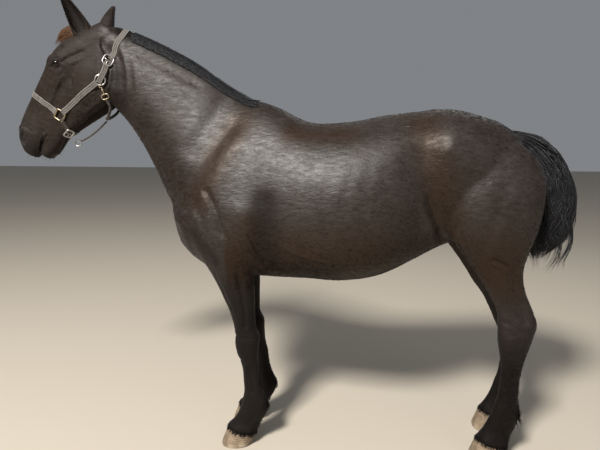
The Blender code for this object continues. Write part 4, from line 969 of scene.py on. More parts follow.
# ---------------------------------------------------------------- looks
class Look:
    """A material built round one Principled shader."""

    def __init__(self, name, **fixed):
        self.material = bpy.data.materials.new(name)
        self.material.use_nodes = True
        self.tree = self.material.node_tree
        self.shader = self.tree.nodes["Principled BSDF"]
        for socket, value in fixed.items():
            self.set(self.shader, socket.replace("_", " "), value)

    def set(self, node, socket, value):
        """Link a socket, or give it a value; a colour may leave out its alpha."""
        wanted = node.inputs[socket]
        if isinstance(value, bpy.types.NodeSocket):
            self.tree.links.new(value, wanted)
        elif wanted.type == "RGBA":
            wanted.default_value = (*value, 1.0)
        else:
            wanted.default_value = value

    def add(self, kind, output, values, **settings):
        node = self.tree.nodes.new("ShaderNode" + kind)
        for name, value in settings.items():
            setattr(node, name, value)
        for socket, value in values.items():
            self.set(node, socket, value)
        return node.outputs[output]

    def maths(self, operation, *values):
        return self.add("Math", 0, dict(enumerate(values)), operation=operation)

    def times(self, first, second):
        return self.maths("MULTIPLY", first, second)

    def most(self, first, second):
        return self.maths("MAXIMUM", first, second)

    def wave(self, value, rate):
        return self.maths("SINE", self.times(value, rate))

    def mix(self, share, first, second):
        values = {0: share, 6: first, 7: second}
        return self.add("Mix", 2, values, data_type="RGBA")

    def noise(self, place, scale, detail=3.0, rough=0.55):
        values = {"Vector": place, "Scale": scale, "Detail": detail, "Roughness": rough}
        return self.add("TexNoise", "Fac", values)

    def streaks(self, place, scale, detail, rough=0.55, turn=0):
        """Noise drawn out along one axis, turned about Y by these degrees."""
        values = {"Vector": place, "Rotation": (0.0, math.radians(turn), 0.0), "Scale": scale}
        return self.noise(self.add("Mapping", 0, values), 1.0, detail, rough)

    def span(self, value, low, high, to_low=0.0, to_high=1.0):
        values = {0: value, 1: low, 2: high, 3: to_low, 4: to_high}
        return self.add("MapRange", 0, values, interpolation_type="SMOOTHSTEP")

    def parts(self, vector):
        node = self.tree.nodes.new("ShaderNodeSeparateXYZ")
        self.tree.links.new(vector, node.inputs[0])
        return node.outputs

    def attribute(self, name):
        return self.add("Attribute", "Vector", {}, attribute_name=name)

    def place(self):
        return self.add("TexCoord", "Object", {})

    def bump(self, height, distance, strength=1.0, under=None):
        values = {"Height": height, "Distance": distance, "Strength": strength}
        if under:
            values["Normal"] = under
        return self.add("Bump", 0, values)

    def finish(self, colour=None, roughness=None, normal=None):
        for socket, value in (("Base Color", colour), ("Roughness", roughness), ("Normal", normal)):
            if value is not None:
                self.set(self.shader, socket, value)
        return self.material


HAIR_WAYS = {"body": 25, "neck": 68, "leg": 88, "head": 56}  # how hair lies: degrees about Y


def coat_look():
    """Short hair lying along each zone, dark legs, painted shade in hollows and creases, greyer where it is
    dusted.
    """
    look = Look("coat", IOR=1.46, Specular_IOR_Level=0.34, Sheen_Weight=0.02, Sheen_Roughness=0.4)
    look.set(look.shader, "Sheen Tint", (0.75, 0.78, 0.86))
    grown = look.attribute("skin_normal")
    place = look.place()
    dark_and_shade, warm, bare = look.parts(look.attribute("marks"))
    neck, _, head = zones = look.parts(look.attribute("zones"))
    strands = None
    for turn, share in zip(HAIR_WAYS.values(), (None, *zones)):
        grain = look.streaks(place, (45.0, 420.0, 420.0), 2.0, turn=turn)
        if share:
            rest = look.times(strands, look.maths("SUBTRACT", 1.0, share))
            grain = look.maths("ADD", rest, look.times(grain, share))
        strands = grain
    clumps = look.streaks(place, (26.0, 70.0, 70.0), 4.0, 0.6, turn=50)
    patches = look.noise(place, 9.0, 3.0, 0.6)
    base = look.mix(look.span(patches, 0.35, 0.68), (0.0100, 0.0060, 0.0042), (0.0150, 0.0100, 0.0078))
    for share, tone in (
        (look.span(clumps, 0.35, 0.75, 0.0, 0.5), (0.025, 0.019, 0.016)),
        (look.times(warm, 0.75), (0.0165, 0.0085, 0.0045)),
        # near black: the dark legs and crest, and painted shade in hollows, nostrils and the mouth
        (look.times(dark_and_shade, 0.9), (0.0015, 0.0012, 0.0012)),
        (look.span(strands, 0.35, 0.75, 0.0, 0.25), (0.034, 0.027, 0.023)),
        (bare, (0.010, 0.008, 0.0072)),
    ):
        base = look.mix(share, base, tone)
    duller = look.times(look.most(look.most(dark_and_shade, bare), head), 0.16)
    rough = look.maths("ADD", look.span(clumps, 0.3, 0.7, 0.40, 0.54), duller)
    matt = look.most(dark_and_shade, look.times(look.most(neck, look.times(head, 1.4)), 0.50))
    shine = look.mix(warm, (1.0, 1.0, 1.0), (0.62, 0.49, 0.40))
    look.set(look.shader, "Specular Tint", look.mix(matt, shine, (0.15, 0.145, 0.14)))
    normal = grown
    for height, distance, strength in ((strands, 0.0008, 0.5), (clumps, 0.0030, 0.6), (patches, 0.006, 0.3)):
        normal = look.bump(height, distance, strength, normal)
    return look.finish(base, rough, normal)


def hair_look(name, root, tip, sheen):
    """Long coarse hair; each lock a little darker or paler than the next."""
    look = Look(name, IOR=1.5, Specular_IOR_Level=0.28, Sheen_Weight=sheen, Sheen_Roughness=0.35)
    look.set(look.shader, "Sheen Tint", (0.7, 0.75, 0.9))
    tone, along, _ = look.parts(look.attribute("lock"))
    base = look.mix(look.times(along, 0.35), look.mix(tone, root, tip), tuple(1.6 * c for c in tip))
    fleck = look.noise(look.place(), 260.0, 2.0)
    rough = look.span(fleck, 0.3, 0.7, 0.36, 0.52)
    return look.finish(base, rough, look.bump(fleck, 0.0006, 0.5))


def eye_look():
    look = Look("eye", Specular_IOR_Level=0.12, Coat_Weight=0.35, Coat_Roughness=0.02, Coat_IOR=1.34)
    pupil, iris, _ = look.parts(look.attribute("marks"))
    brown = look.mix(look.noise(look.place(), 420.0, 3.0), (0.004, 0.002, 0.0011), (0.014, 0.007, 0.0033))
    base = look.mix(iris, (0.004, 0.003, 0.0026), brown)
    return look.finish(look.mix(pupil, base, (0.0010, 0.0012, 0.0020)), 0.12)


def hoof_look():
    """Horn with fine upright lines, level growth rings and dust low down."""
    look = Look("hoof", IOR=1.45)
    place = look.place()
    down = look.parts(look.attribute("marks"))[0]
    lines = look.streaks(place, (260.0, 260.0, 22.0), 3.0)
    blotch = look.noise(place, 34.0, 4.0, 0.6)
    rings = look.streaks(place, (6.0, 6.0, 150.0), 2.0)
    base = look.mix(look.span(blotch, 0.35, 0.7), (0.135, 0.098, 0.064), (0.25, 0.19, 0.128))
    for share, tone in (
        (look.span(lines, 0.4, 0.75, 0.0, 0.5), (0.17, 0.115, 0.07)),
        (look.span(down, 0.0, 0.25, 0.55, 0.0), (0.12, 0.085, 0.06)),
        (look.span(look.maths("ADD", down, blotch), 1.15, 1.6, 0.0, 0.6), (0.36, 0.30, 0.22)),
    ):
        base = look.mix(share, base, tone)
    normal = look.bump(lines, 0.0008, 0.6, look.bump(rings, 0.0016, 0.6))
    return look.finish(base, look.span(blotch, 0.3, 0.7, 0.55, 0.8), normal)


def webbing_look():
    """Grey-brown strapping: raised seams, a row of stitches at each edge and the middle."""
    look = Look("webbing", Sheen_Weight=0.15)
    along, across, _ = look.parts(look.add("UVMap", 0, {}, uv_map="weave"))
    reach = look.maths("ABSOLUTE", across)
    edge = look.maths("ABSOLUTE", look.maths("SUBTRACT", reach, 0.74))
    row = look.span(look.maths("MINIMUM", edge, reach), 0.05, 0.13, 1.0, 0.0)
    stitch = look.times(row, look.span(look.wave(along, 1250.0), -0.75, -0.3))
    weave = look.times(look.wave(across, 55.0), look.wave(along, 3100.0))
    dirt = look.noise(look.place(), 60.0, 4.0, 0.6)
    base = look.mix(look.span(dirt, 0.3, 0.7), (0.036, 0.030, 0.026), (0.072, 0.062, 0.055))
    base = look.mix(look.span(reach, 0.70, 0.98, 0.0, 0.65), base, (0.17, 0.155, 0.14))
    base = look.mix(look.times(stitch, 0.8), base, (0.24, 0.22, 0.20))
    normal = look.bump(stitch, 0.0008, 0.8, look.bump(weave, 0.0003, 0.5))
    return look.finish(base, look.span(dirt, 0.3, 0.7, 0.7, 0.9), normal)


def leather_look():
    look = Look("rolled_strap", IOR=1.45)
    grain = look.noise(look.place(), 420.0, 3.0)
    dirt = look.noise(look.place(), 50.0, 3.0)
    base = look.mix(look.span(dirt, 0.3, 0.7), (0.018, 0.014, 0.012), (0.050, 0.040, 0.034))
    return look.finish(base, look.span(dirt, 0.3, 0.7, 0.45, 0.7), look.bump(grain, 0.0006, 0.6))


def metal_look(name, bright, dull, roughness):
    look = Look(name, Metallic=1.0)
    grime = look.noise(look.place(), 110.0, 4.0, 0.65)
    base = look.mix(look.span(grime, 0.42, 0.72), bright, dull)
    rough = look.span(grime, 0.3, 0.7, roughness, roughness + 0.22)
    return look.finish(base, rough, look.bump(grime, 0.0003, 0.4))


# ---------------------------------------------------------------- meshes of hair
PATCH = 0.003  # size of a lock's patch of the skin's UV map
CORE_LENGTH = 0.88  # of a hair mass's closed inside, as a share of the hair's length
LOCKS = {
    "tail": (2100, 0.3),
    "mane": (3400, 0.35),
    "crest": (5200, 0.35),
    "forelock": (1300, 0.2),
}


def locks(name, spines, widths, spots, look, marks=None, zones=None, outs=None):
    """Tapering three-sided locks along spines (n, k, 3); spots are their roots' UVs."""
    count, steps = spines.shape[:2]
    along = unit(np.gradient(spines, axis=1))
    side = unit(np.cross(along, RNG.normal(size=(count, 1, 3))))
    up = np.cross(side, along)
    rings = []
    for angle in 2 * math.pi * np.arange(3) / 3:
        out = side * math.cos(angle) + up * math.sin(angle)
        rings.append(spines + out * widths[..., None])
    body = np.stack(rings, 2)[:, :-1].reshape(count, -1, 3)
    points = np.concatenate([body, spines[:, -1:]], 1)
    each = points.shape[1]
    first = np.arange(count)[:, None, None] * each
    quads, _ = loft_faces(steps - 1, 3)
    top = (steps - 2) * 3
    tris = [(top + k, top + (k + 1) % 3, each - 1) for k in range(3)] + [(2, 1, 0)]
    quads, tris = (first + quads).reshape(-1, 4), (first + tris).reshape(-1, 3)
    item, corners = quick_mesh(name, points.reshape(-1, 3), quads, tris, look)
    share = np.append(np.repeat(np.arange(steps - 1), 3), steps - 1) / (steps - 1)
    across = np.append(np.tile([0.0, 0.5, 1.0], steps - 1), 0.5)
    patch = np.stack([share - 0.5, across - 0.5], 1) * PATCH
    set_places(item, "OFBake", (spots[:, None] + patch).reshape(-1, 2), corners)
    tone = np.repeat(RNG.random(count)[:, None], each, 1)
    lock = np.stack([tone, np.repeat(share[None], count, 0), tone * 0], 2)
    set_vectors(item, "lock", lock.reshape(-1, 3))
    for title, values in (("marks", marks), ("zones", zones), ("skin_normal", outs)):
        if values is not None:
            set_vectors(item, title, np.repeat(values, each, 0))
    return item


def coat_locks(name, spines, widths, roots, normals, spots, look):
    """Locks of the coat, marked as the skin is at their roots."""
    return locks(name, spines, widths, spots, look, marks_of(roots), zones_of(roots), normals)


class Hide:
    """The finished skin as arrays: for roots, their UVs and the surface near a place."""

    def __init__(self, item):
        mesh = item.data
        self.points = coordinates(mesh)
        self.faces = read(mesh.polygons, "vertices", 3, np.int32)
        self.uv = read(mesh.uv_layers["OFBake"].uv, "vector", 2).reshape(-1, 3, 2).astype(float)
        self.normals = normals_of(mesh)
        a, b, c = (self.points[self.faces[:, k]] for k in range(3))
        cross = np.cross(b - a, c - a)
        self.areas = np.linalg.norm(cross, axis=1) / 2
        self.ways = unit(cross)
        self.centres = (a + b + c) / 3
        self.tree = BVHTree.FromPolygons(self.points.tolist(), self.faces.tolist())

    def between(self, face, share):
        """Normals and UVs of places that share these faces' corners so."""
        share = share[..., None]
        return (self.normals[self.faces[face]] * share).sum(1), (self.uv[face] * share).sum(1)

    def scattered(self, count, density):
        """Random roots, thicker where density is high: places, normals, UVs."""
        weight = self.areas * density
        face = RNG.choice(len(weight), count, p=weight / weight.sum())
        u, v = RNG.random((2, count))
        flip = u + v > 1
        u[flip], v[flip] = 1 - u[flip], 1 - v[flip]
        share = np.stack([1 - u - v, u, v], 1)
        places = (self.points[self.faces[face]] * share[..., None]).sum(1)
        return places, *self.between(face, share)

    def found(self, places):
        """The closest spot of the skin to each place, its way out and its face."""
        found = [self.tree.find_nearest(Vector(p))[:3] for p in places]
        return (np.array(column) for column in zip(*found))

    def nearest(self, places):
        """The closest skin to each place: spots, normals, UVs."""
        spots, _, face = self.found(places)
        a, b, c = (self.points[self.faces[face][:, k]] for k in range(3))
        area = np.cross(b - a, c - a)
        size = (area * area).sum(1) + 1e-18
        v = (np.cross(spots - a, c - a) * area).sum(1) / size
        w = (np.cross(b - a, spots - a) * area).sum(1) / size
        normals, uv = self.between(face, np.clip(np.stack([1 - v - w, v, w], 1), 0, 1))
        return spots, unit(normals), uv

    def lifted(self, places, least):
        """Places pushed out to stay at least this far above the skin."""
        flat = places.reshape(-1, 3)
        spots, outs, _ = self.found(flat)
        height = ((flat - spots) * outs).sum(1)
        short = np.maximum(np.broadcast_to(least, places.shape[:-1]).ravel() - height, 0)
        return (flat + outs * short[:, None]).reshape(places.shape)


def leg_share(points):
    return ramp(points[:, 2], 0.80, 1.02)


def zones_of(points):
    """How much each point is of the neck, the legs and the head."""
    neck = np.clip((-0.38 - points[:, 0]) / 0.14, 0, 1)
    head = np.clip((-0.86 - points[:, 0]) / 0.05, 0, 1)
    legs = leg_share(points)
    return np.stack([smooth_step(neck), legs, smooth_step(head)], 1)


def band_share(points, bands):
    """How much each point is in one of the bands, seen from the side."""
    flat = points * (1, 0, 1)
    share = np.zeros(len(points))
    for path, reach in bands.values():
        away = distance_to_path(flat, np.array([(x, 0.0, z) for x, z in path]))
        share = np.maximum(share, 1 - smooth_step(away / reach))
    return share


def marks_of(points):
    """Dark (legs, crest, and painted shade in hollows, nostrils and the mouth), warm (belly, flank, elbow)
    and bare (lips, nostrils, eyes).
    """
    x, y, z = points.T
    dark_and_shade = np.where(x < 0.2, ramp(z, 0.58, 1.00), 0.95 * ramp(z, 0.38, 0.82))
    # painted shade in the hollow behind the triceps, behind the jaw and in the arm's groove
    dark_and_shade = np.maximum(dark_and_shade, 0.65 * band_share(points, SHADE_BANDS))
    band = 1 - smooth_step((crest_at(x) - z - 0.030) / 0.030)
    band = band * smooth_step((-0.17 - x) / 0.06) * smooth_step((x + 0.87) / 0.05)
    dark_and_shade = np.maximum(dark_and_shade, band * (np.abs(y) < 0.12))
    warm = ramp(z, 0.90, 1.15) * (1 - ramp(z, 0.66, 0.85)) * (x > -0.30)
    warm = np.maximum(warm, 0.85 * band_share(points, WARM_BANDS)) * (x > -0.62)
    bare = smooth_step((to_head(points)[:, 0] - 0.585) / 0.06) * 0.75
    bare = np.maximum(bare, 1 - smooth_step((eye_distance(points) - 0.020) / 0.014))
    for flip in (-1, 1):
        away = distance_to_path(points, from_head(NOSTRIL, flip))
        bare = np.maximum(bare, 1.4 * (1 - smooth_step((away - 0.006) / 0.010)))
        # painted shade inside the nostril's hollow
        dark_and_shade = np.maximum(dark_and_shade, 1 - smooth_step((away - 0.0055) / 0.0045))
        # painted shade along the mouth's slit
        away = distance_to_path(points, from_head(HEAD_DETAIL["mouth_slit"][2], flip))
        dark_and_shade = np.maximum(dark_and_shade, 0.9 * (1 - smooth_step((away - 0.001) / 0.0045)))
    return np.clip(np.stack([dark_and_shade, warm, bare], 1), 0, 1)


def crest_at(x):
    """Height of the neck's crest."""
    return np.interp(x, *zip(*CREST))


CREST = (  # (x, z)
    (-0.930, 1.945), (-0.850, 1.930), (-0.745, 1.896), (-0.605, 1.834),
    (-0.460, 1.756), (-0.330, 1.670), (-0.215, 1.602), (0.000, 1.510),
)
# Painted shade: the hollow behind the triceps, the shadow behind the jaw and the arm's groove.
SHADE_BANDS = {  # path (x, z) and reach
    "triceps": (((-0.13, 1.16), (-0.12, 0.91)), 0.11),
    "jaw": (((-0.82, 1.71), (-0.81, 1.58)), 0.07),
    "chest": (((-0.44, 1.02), (-0.35, 0.9)), 0.05),
}
WARM_BANDS = {  # path (x, z) and reach
    "shoulder": (((-0.25, 1.50), (-0.34, 1.34), (-0.41, 1.17)), 0.11),
    "flank": (((0.52, 1.48), (0.56, 1.32), (0.62, 1.1)), 0.13),
    "back": (((-0.03, 1.45), (0.22, 1.45)), 0.08),
    "belly": (((0.02, 0.92), (0.41, 0.93)), 0.13),
    "elbow": (((-0.19, 1.07), (-0.14, 0.91)), 0.1),
    "stifle": (((0.72, 0.93), (0.65, 1.06)), 0.06),
}


def lay(points, normals):
    """The way short hair points on the skin, along the surface."""
    neck, legs, head = zones_of(points).T
    thigh = np.clip((points[:, 0] - 0.62) / 0.2, 0, 1) * ramp(points[:, 2], 1.1, 1.4)
    way = np.array([0.90, 0.0, -0.43])
    for share, next_way in (
        (thigh, (0.35, 0.0, -0.94)),
        (neck, (0.35, 0.0, -0.94)),
        (legs, (0.04, 0.0, -1.0)),
        (head, HEAD_TURN @ (0.95, -0.32, 0.0)),
    ):
        way = way * (1 - share[:, None]) + np.array(next_way) * share[:, None]
    return unit(level_with(way, normals))


def coat_length(points):
    """Length of short hair: shortest on the face and feet, longest under jaw and belly."""
    x, _, z = points.T
    along, above, _ = to_head(points).T
    head = zones_of(points)[:, 2]
    length = (0.0105 - 0.0035 * leg_share(points)) * (1 - 0.5 * head)
    length = np.where(along > 0.50, length * 0.65, length)
    length = np.where((head > 0.5) & (above < -0.15), 0.010, length)
    return np.where((z < 0.92) & (z > 0.78) & (np.abs(x - 0.15) < 0.42), 0.014, length)


def tuft_density(hide):
    """More tufts where the outline breaks: crest, jaw, belly, back of the legs."""
    points = hide.centres
    density = 1.0 + 1.2 * np.abs(hide.ways[:, 2]) + 0.8 * np.abs(hide.ways[:, 0])
    density *= (1 + leg_share(points)) * (1 + 1.6 * zones_of(points)[:, 2])
    density[eye_distance(points) < 0.030] = 0
    density[to_head(points)[:, 0] > 0.60] *= 0.15
    return density


def bristles(roots, ways, normals, lengths, steps, rise):
    """Spines from roots along ways, rising off the skin by shares of their lengths."""
    reach = ways[:, None] * (lengths[:, None] * steps)[..., None]
    return roots[:, None] + reach + normals[:, None] * (lengths[:, None] * rise)[..., None]


TUFTS = 54000
TUFTS_A_PIECE = 18000


def coat_tufts(hide, look):
    """Small flat tufts all over the skin, in a few pieces."""
    made = []
    pieces = math.ceil(TUFTS / TUFTS_A_PIECE)
    count = TUFTS // pieces
    density = tuft_density(hide)
    for k in range(pieces):
        roots, normals, spots = hide.scattered(count, density)
        length = coat_length(roots) * RNG.uniform(0.7, 1.25, count)
        way = lay(roots, normals)
        way = level_with(way + RNG.normal(scale=0.16, size=way.shape), normals)
        rise = RNG.uniform(0.04, 0.15, count)[:, None] * (-0.05, 0.62, 0.75)
        spines = bristles(roots, way, normals, length, np.array([0.0, 0.5, 1.0]), rise)
        widths = length[:, None] * (0.075, 0.065, 0.0)
        made.append(coat_locks(f"coat_{k + 1}", spines, widths, roots, normals, spots, look))
    return made


# ---------------------------------------------------------------- long hair
def bundle(sections, in_head=False):
    """Rings of a hair mass's outline, and the middle of each ring."""
    rings = np.array(loft_rings(sections, 0.012, 24, in_head))
    return rings, rings.mean(1)


def sampled(rings, middles, t, angle, reach):
    """Places in the bundle: t along (0 to 1), angle in turns, reach from the middle."""
    count, sides = rings.shape[:2]
    row = np.clip(t, 0, 1) * (count - 1)
    i = np.minimum(row.astype(int), count - 2)
    f = (row - i)[..., None]
    col = (angle % 1.0) * sides
    j = col.astype(int) % sides
    g = (col - np.floor(col))[..., None]
    k = (j + 1) % sides
    near = (rings[i, j] * (1 - g) + rings[i, k] * g) * (1 - f)
    near = near + (rings[i + 1, j] * (1 - g) + rings[i + 1, k] * g) * f
    middle = middles[i] * (1 - f) + middles[i + 1] * f
    return middle + (near - middle) * reach[..., None]


def flowing(rings, middles, count, steps, roots, ends, wave, spread=0.10):
    """Spines flowing down a bundle between random roots and ends, gathered in locks."""
    clumps = max(8, count // 28)
    group = RNG.integers(0, clumps, count)
    angle = RNG.random(clumps)[group] + RNG.normal(scale=spread * 0.35, size=count)
    reach = np.sqrt(RNG.uniform(0.35, 1.0, clumps))[group] + RNG.normal(scale=0.07, size=count)
    start = RNG.uniform(*roots, count)
    end = RNG.uniform(*ends, clumps)[group] + RNG.normal(scale=0.03, size=count)
    share = np.linspace(0, 1, steps)[None]
    t = start[:, None] + (np.maximum(end, start + 0.12) - start)[:, None] * share
    phase, pace = RNG.random((2, clumps))
    swing = np.sin(2 * math.pi * (phase[group][:, None] + (1.2 + 1.6 * pace[group][:, None]) * share))
    turn = angle[:, None] + wave * swing * share
    ease = 0.55 + 0.45 * smooth_step(share * 2.2)
    out = np.clip(reach[:, None], 0.3, 1.06) * ease
    out = out * (1 + 0.05 * swing * share)
    return sampled(rings, middles, t, turn, out)


def core(rings, middles, scale, name, look, spot):
    """A closed inner mass, so that no light comes through the hair."""
    kept = int(len(rings) * CORE_LENGTH)
    rings, middles = rings[:kept], middles[:kept, None]
    share = np.linspace(0, 1, kept)[:, None, None]
    thinner = scale * (1 - 0.75 * share**5) * (0.5 + 0.5 * smooth_step(share / 0.35))
    inner = middles + (rings - middles) * thinner
    sides = rings.shape[1]
    item, corners = quick_mesh(name, inner.reshape(-1, 3), *loft_faces(kept, sides), look)
    share = np.repeat(np.linspace(0, 1, kept), sides)
    across = np.tile(np.arange(sides) / sides, kept)
    set_places(item, "OFBake", spot + np.stack([share - 0.5, across - 0.5], 1) * PATCH, corners)
    set_vectors(item, "lock", np.stack([share * 0 + 0.2, share * 0.3, share * 0], 1))
    return item


def taper(steps, width, spread=0.3, count=1):
    profile = np.interp(np.linspace(0, 1, steps), (0, 0.1, 0.6, 1), (0.7, 1.0, 0.85, 0.0))
    return width * profile[None] * RNG.uniform(1 - spread, 1 + spread, (count, 1))


def fewer(count, share=0.4):
    return int(count * (1.0))


def tail_hair(hide, look):
    rings, middles = bundle(TAIL)
    spot = hide.nearest([(0.96, 0.0, 1.42)])[2][0]
    made = [core(rings, middles, 0.80, "tail_core", look, spot)]
    for name, ends, width in (
        ("tail_locks_1", (0.55, 1.0), 0.0022),
        ("tail_locks_2", (0.80, 1.04), 0.0020),
    ):
        count, steps = fewer(*LOCKS["tail"]), 15
        spines = flowing(rings, middles, count, steps, (0.0, 0.42), ends, 0.045)
        spots = hide.nearest(middles[(RNG.random(count) * 8).astype(int)])[2]
        made.append(locks(name, spines, taper(steps, width, 0.35, count), spots, look))
    return made + [wisps(hide, look)]


WISPS = (  # stray strands of the tail: places (x, y, z) that each runs through
    ((1.05, -0.05, 1.25), (1.13, -0.07, 1.08), (1.15, -0.07, 0.93), (1.10, -0.06, 0.86)),
    (
        (1.15, -0.04, 1.20), (1.20, -0.05, 1.06), (1.20, -0.05, 0.96),
        (1.155, -0.05, 0.905), (1.165, -0.05, 0.875),
    ),
    ((1.00, -0.05, 1.30), (1.02, -0.07, 1.12), (1.03, -0.08, 0.98), (1.045, -0.08, 0.87)),
    ((1.10, 0.05, 1.25), (1.16, 0.06, 1.06), (1.17, 0.06, 0.94), (1.13, 0.05, 0.87)),
    ((1.04, 0.04, 1.28), (1.06, 0.06, 1.10), (1.07, 0.07, 0.95), (1.05, 0.06, 0.87)),
)


def wisps(hide, look):
    count, steps = 26, 14
    share = np.linspace(0, 1, steps)
    spines = []
    for points in WISPS:
        run = np.linspace(0, 1, len(points))
        line = softened(np.stack([np.interp(share, run, axis) for axis in zip(*points)], 1), 4)
        off = RNG.normal(scale=0.006, size=(count, 1, 3)) * (0.4 + share[None, :, None])
        drift = RNG.normal(scale=0.010, size=(count, 1, 3)) * share[None, :, None] ** 2
        spines.append(line + off + drift)
    spines = np.concatenate(spines)
    spots = hide.nearest(spines[:, 0])[2]
    return locks("tail_wisps", spines, taper(steps, 0.0010, 0.3, len(spines)), spots, look)


def mane_hair(hide, look):
    """Hair combed up from the near side, over the crest and down the right side."""
    count, steps, up = fewer(*LOCKS["mane"]), 10, 0.30
    clumps = count // 16
    group = RNG.integers(0, clumps, count)
    place = np.sort(RNG.uniform(MANE["front"] + 0.006, MANE["back"] - 0.01, clumps))[group]
    x = place + RNG.normal(scale=0.006, size=count)
    late = np.clip((x - MANE["back"] + 0.20) / 0.20, 0, 1)
    low = RNG.uniform(0.0, 0.045, clumps)[group] * RNG.uniform(0.1, 1.0, count)
    low *= 1 - 0.7 * late
    roots, _, spots = hide.nearest(np.stack([x, np.full(count, -0.045), crest_at(x) - low], 1))
    fall = MANE["fall"] * (1 - 0.75 * late) * RNG.uniform(0.55, 1.08, clumps)[group]
    top_x = x + RNG.uniform(0.0, 0.012, count)
    top = np.stack([top_x, RNG.normal(scale=0.004, size=count) + 0.002, crest_at(top_x)], 1)
    share = np.linspace(0, 1, steps)
    spines = np.empty((count, steps, 3))
    for s, t in enumerate(share):
        if t <= up:
            f = smooth_step(t / up)
            spines[:, s] = roots * (1 - f) + top * f
        else:
            f = (t - up) / (1 - up)
            drop = fall * f**1.15
            drift = 0.030 * f + RNG.normal(scale=0.0015, size=count)
            side = 0.012 + 0.13 * np.minimum(drop, 0.2)
            spines[:, s] = np.stack([top[:, 0] + drift, side, top[:, 2] - drop], 1)
    curl = RNG.random(clumps)[group]
    spines[..., 0] += np.sin(2 * math.pi * (curl[:, None] + 1.3 * share)) * 0.005 * share
    depth = RNG.uniform(0.0006, 0.0085, count)[:, None]
    depth = depth * np.interp(share, (0, 0.15, 0.5, 1), (0.05, 0.5, 1.0, 0.8))
    spines = hide.lifted(spines, depth)
    mane = locks("mane", spines, taper(steps, 0.0016, 0.35, count), spots, look)
    return [mane, crest_fuzz(hide, look)]


def crest_fuzz(hide, look):
    """Short soft hair standing along the crest and just under it on the near side."""
    count = fewer(*LOCKS["crest"])
    x = RNG.uniform(MANE["front"], MANE["back"] + 0.03, count)
    below = 0.046 * RNG.random(count) ** 0.8
    start = np.stack([x, np.full(count, -0.06), crest_at(x) - below + 0.002], 1)
    start[below < 0.008, 1] = RNG.normal(scale=0.006, size=(below < 0.008).sum())
    roots, normals, spots = hide.nearest(start)
    way = np.array([0.35, 0.25, 0.55]) + RNG.normal(scale=0.28, size=(count, 3))
    way = unit(level_with(way, normals))
    length = RNG.uniform(0.010, 0.020, count)
    steps, rise = np.array([0.0, 0.35, 0.7, 1.0]), np.array([-0.03, 0.20, 0.30, 0.28])
    spines = bristles(roots, way, normals, length, steps, rise)
    return locks("mane_fuzz", spines, taper(4, 0.0009, 0.3, count), spots, look)


def forelock_hair(hide, look):
    rings, middles = bundle(FORELOCK, in_head=True)
    spot = hide.nearest([middles[0]])[2][0]
    made = [core(rings, middles, 0.45, "forelock_core", look, spot)]
    count, steps = fewer(*LOCKS["forelock"]), 9
    spines = flowing(rings, middles, count, steps, (0.0, 0.25), (0.45, 1.0), 0.05, 0.12)
    share = np.linspace(0, 1, steps)[:, None]
    fray = RNG.uniform(-0.006, 0.032, (count, 1, 1)) * (HEAD_TURN @ (1.0, 0.15, 0.0))
    spines += (fray + RNG.normal(scale=0.0045, size=(count, 1, 3))) * share**1.6
    spines = hide.lifted(spines, 0.0008)
    spots = hide.nearest(spines[:, 0])[2]
    made.append(locks("forelock_locks", spines, taper(steps, 0.0008, 0.3, count), spots, look))
    return made


FEATHER = (  # tufts: leg, place (x, y, z), spread, the way they hang, count, length
    ("hind", (0.995, 0.135, 0.235), (0.012, 0.024, 0.024), (0.24, 0.0, -0.97), 230, 0.034),
    ("hind", (0.985, 0.135, 0.300), (0.006, 0.014, 0.060), (0.10, 0.0, -0.99), 120, 0.014),
    ("hind", (0.940, 0.135, 0.110), (0.012, 0.040, 0.020), (0.16, 0.0, -0.98), 120, 0.018),
    ("fore", (-0.136, 0.112, 0.215), (0.012, 0.024, 0.022), (0.18, 0.0, -0.98), 150, 0.022),
    ("fore", (-0.155, 0.112, 0.290), (0.006, 0.014, 0.060), (0.10, 0.0, -0.99), 110, 0.012),
    ("fore", (-0.175, 0.112, 0.095), (0.012, 0.040, 0.018), (0.14, 0.0, -0.98), 110, 0.014),
)


def feather_hair(hide, look):
    """Tufts behind the fetlocks and a fringe over each hoof."""
    roots, ways, lengths = [], [], []

    def grow(kind, flip, spots, way, length):
        spots[:, 1] *= flip
        spots[:, 0] += FAR[kind](spots[:, 2]) if flip > 0 else 0.0
        roots.append(spots)
        ways.append(way)
        lengths.append(length)

    for flip in (-1, 1):
        for kind, place, spread, way, count, length in FEATHER:
            count = fewer(count)
            spots = np.array(place) + RNG.normal(size=(count, 3)) * spread
            way = np.array(way) + RNG.normal(scale=0.16, size=(count, 3))
            grow(kind, flip, spots, way, RNG.uniform(0.6, 1.15, count) * length)
        for kind in ("fore", "hind"):
            count = fewer(520)
            front, back = HOOF[kind][:2]
            angle = RNG.random(count) * 2 * math.pi
            c, s = np.cos(angle), np.sin(angle)
            x = (front[0] + back[0]) / 2 + (back[0] - front[0]) / 2 * c * 0.98
            z = (front[1] + back[1]) / 2 + (back[1] - front[1]) / 2 * c
            z = z + 0.008 + RNG.normal(scale=0.004, size=count)
            away = np.stack([c * 0.35 - 0.25, s * 0.35 * flip, np.full(count, -0.95)], 1)
            spots = np.stack([x, HOOF_Y[kind] + 0.054 * s, z], 1)
            way = away + RNG.normal(scale=0.12, size=(count, 3))
            grow(kind, flip, spots, way, RNG.uniform(0.010, 0.020, count))
    roots, normals, spots = hide.nearest(np.concatenate(roots))
    ways = unit(np.concatenate(ways))[:, None]
    steps = np.linspace(0, 1, 6)[:, None]
    out = (normals[:, None] * 0.20 + ways * 0.85) * (steps - steps**2 * 0.75) + ways * steps**1.4 * 0.8
    spines = roots[:, None] + out * np.concatenate(lengths)[:, None, None]
    spines[..., 2] = np.maximum(spines[..., 2], 0.004)
    widths = taper(6, 0.0009, 0.3, len(roots))
    return [coat_locks("feather", spines, widths, roots, normals, spots, look)]


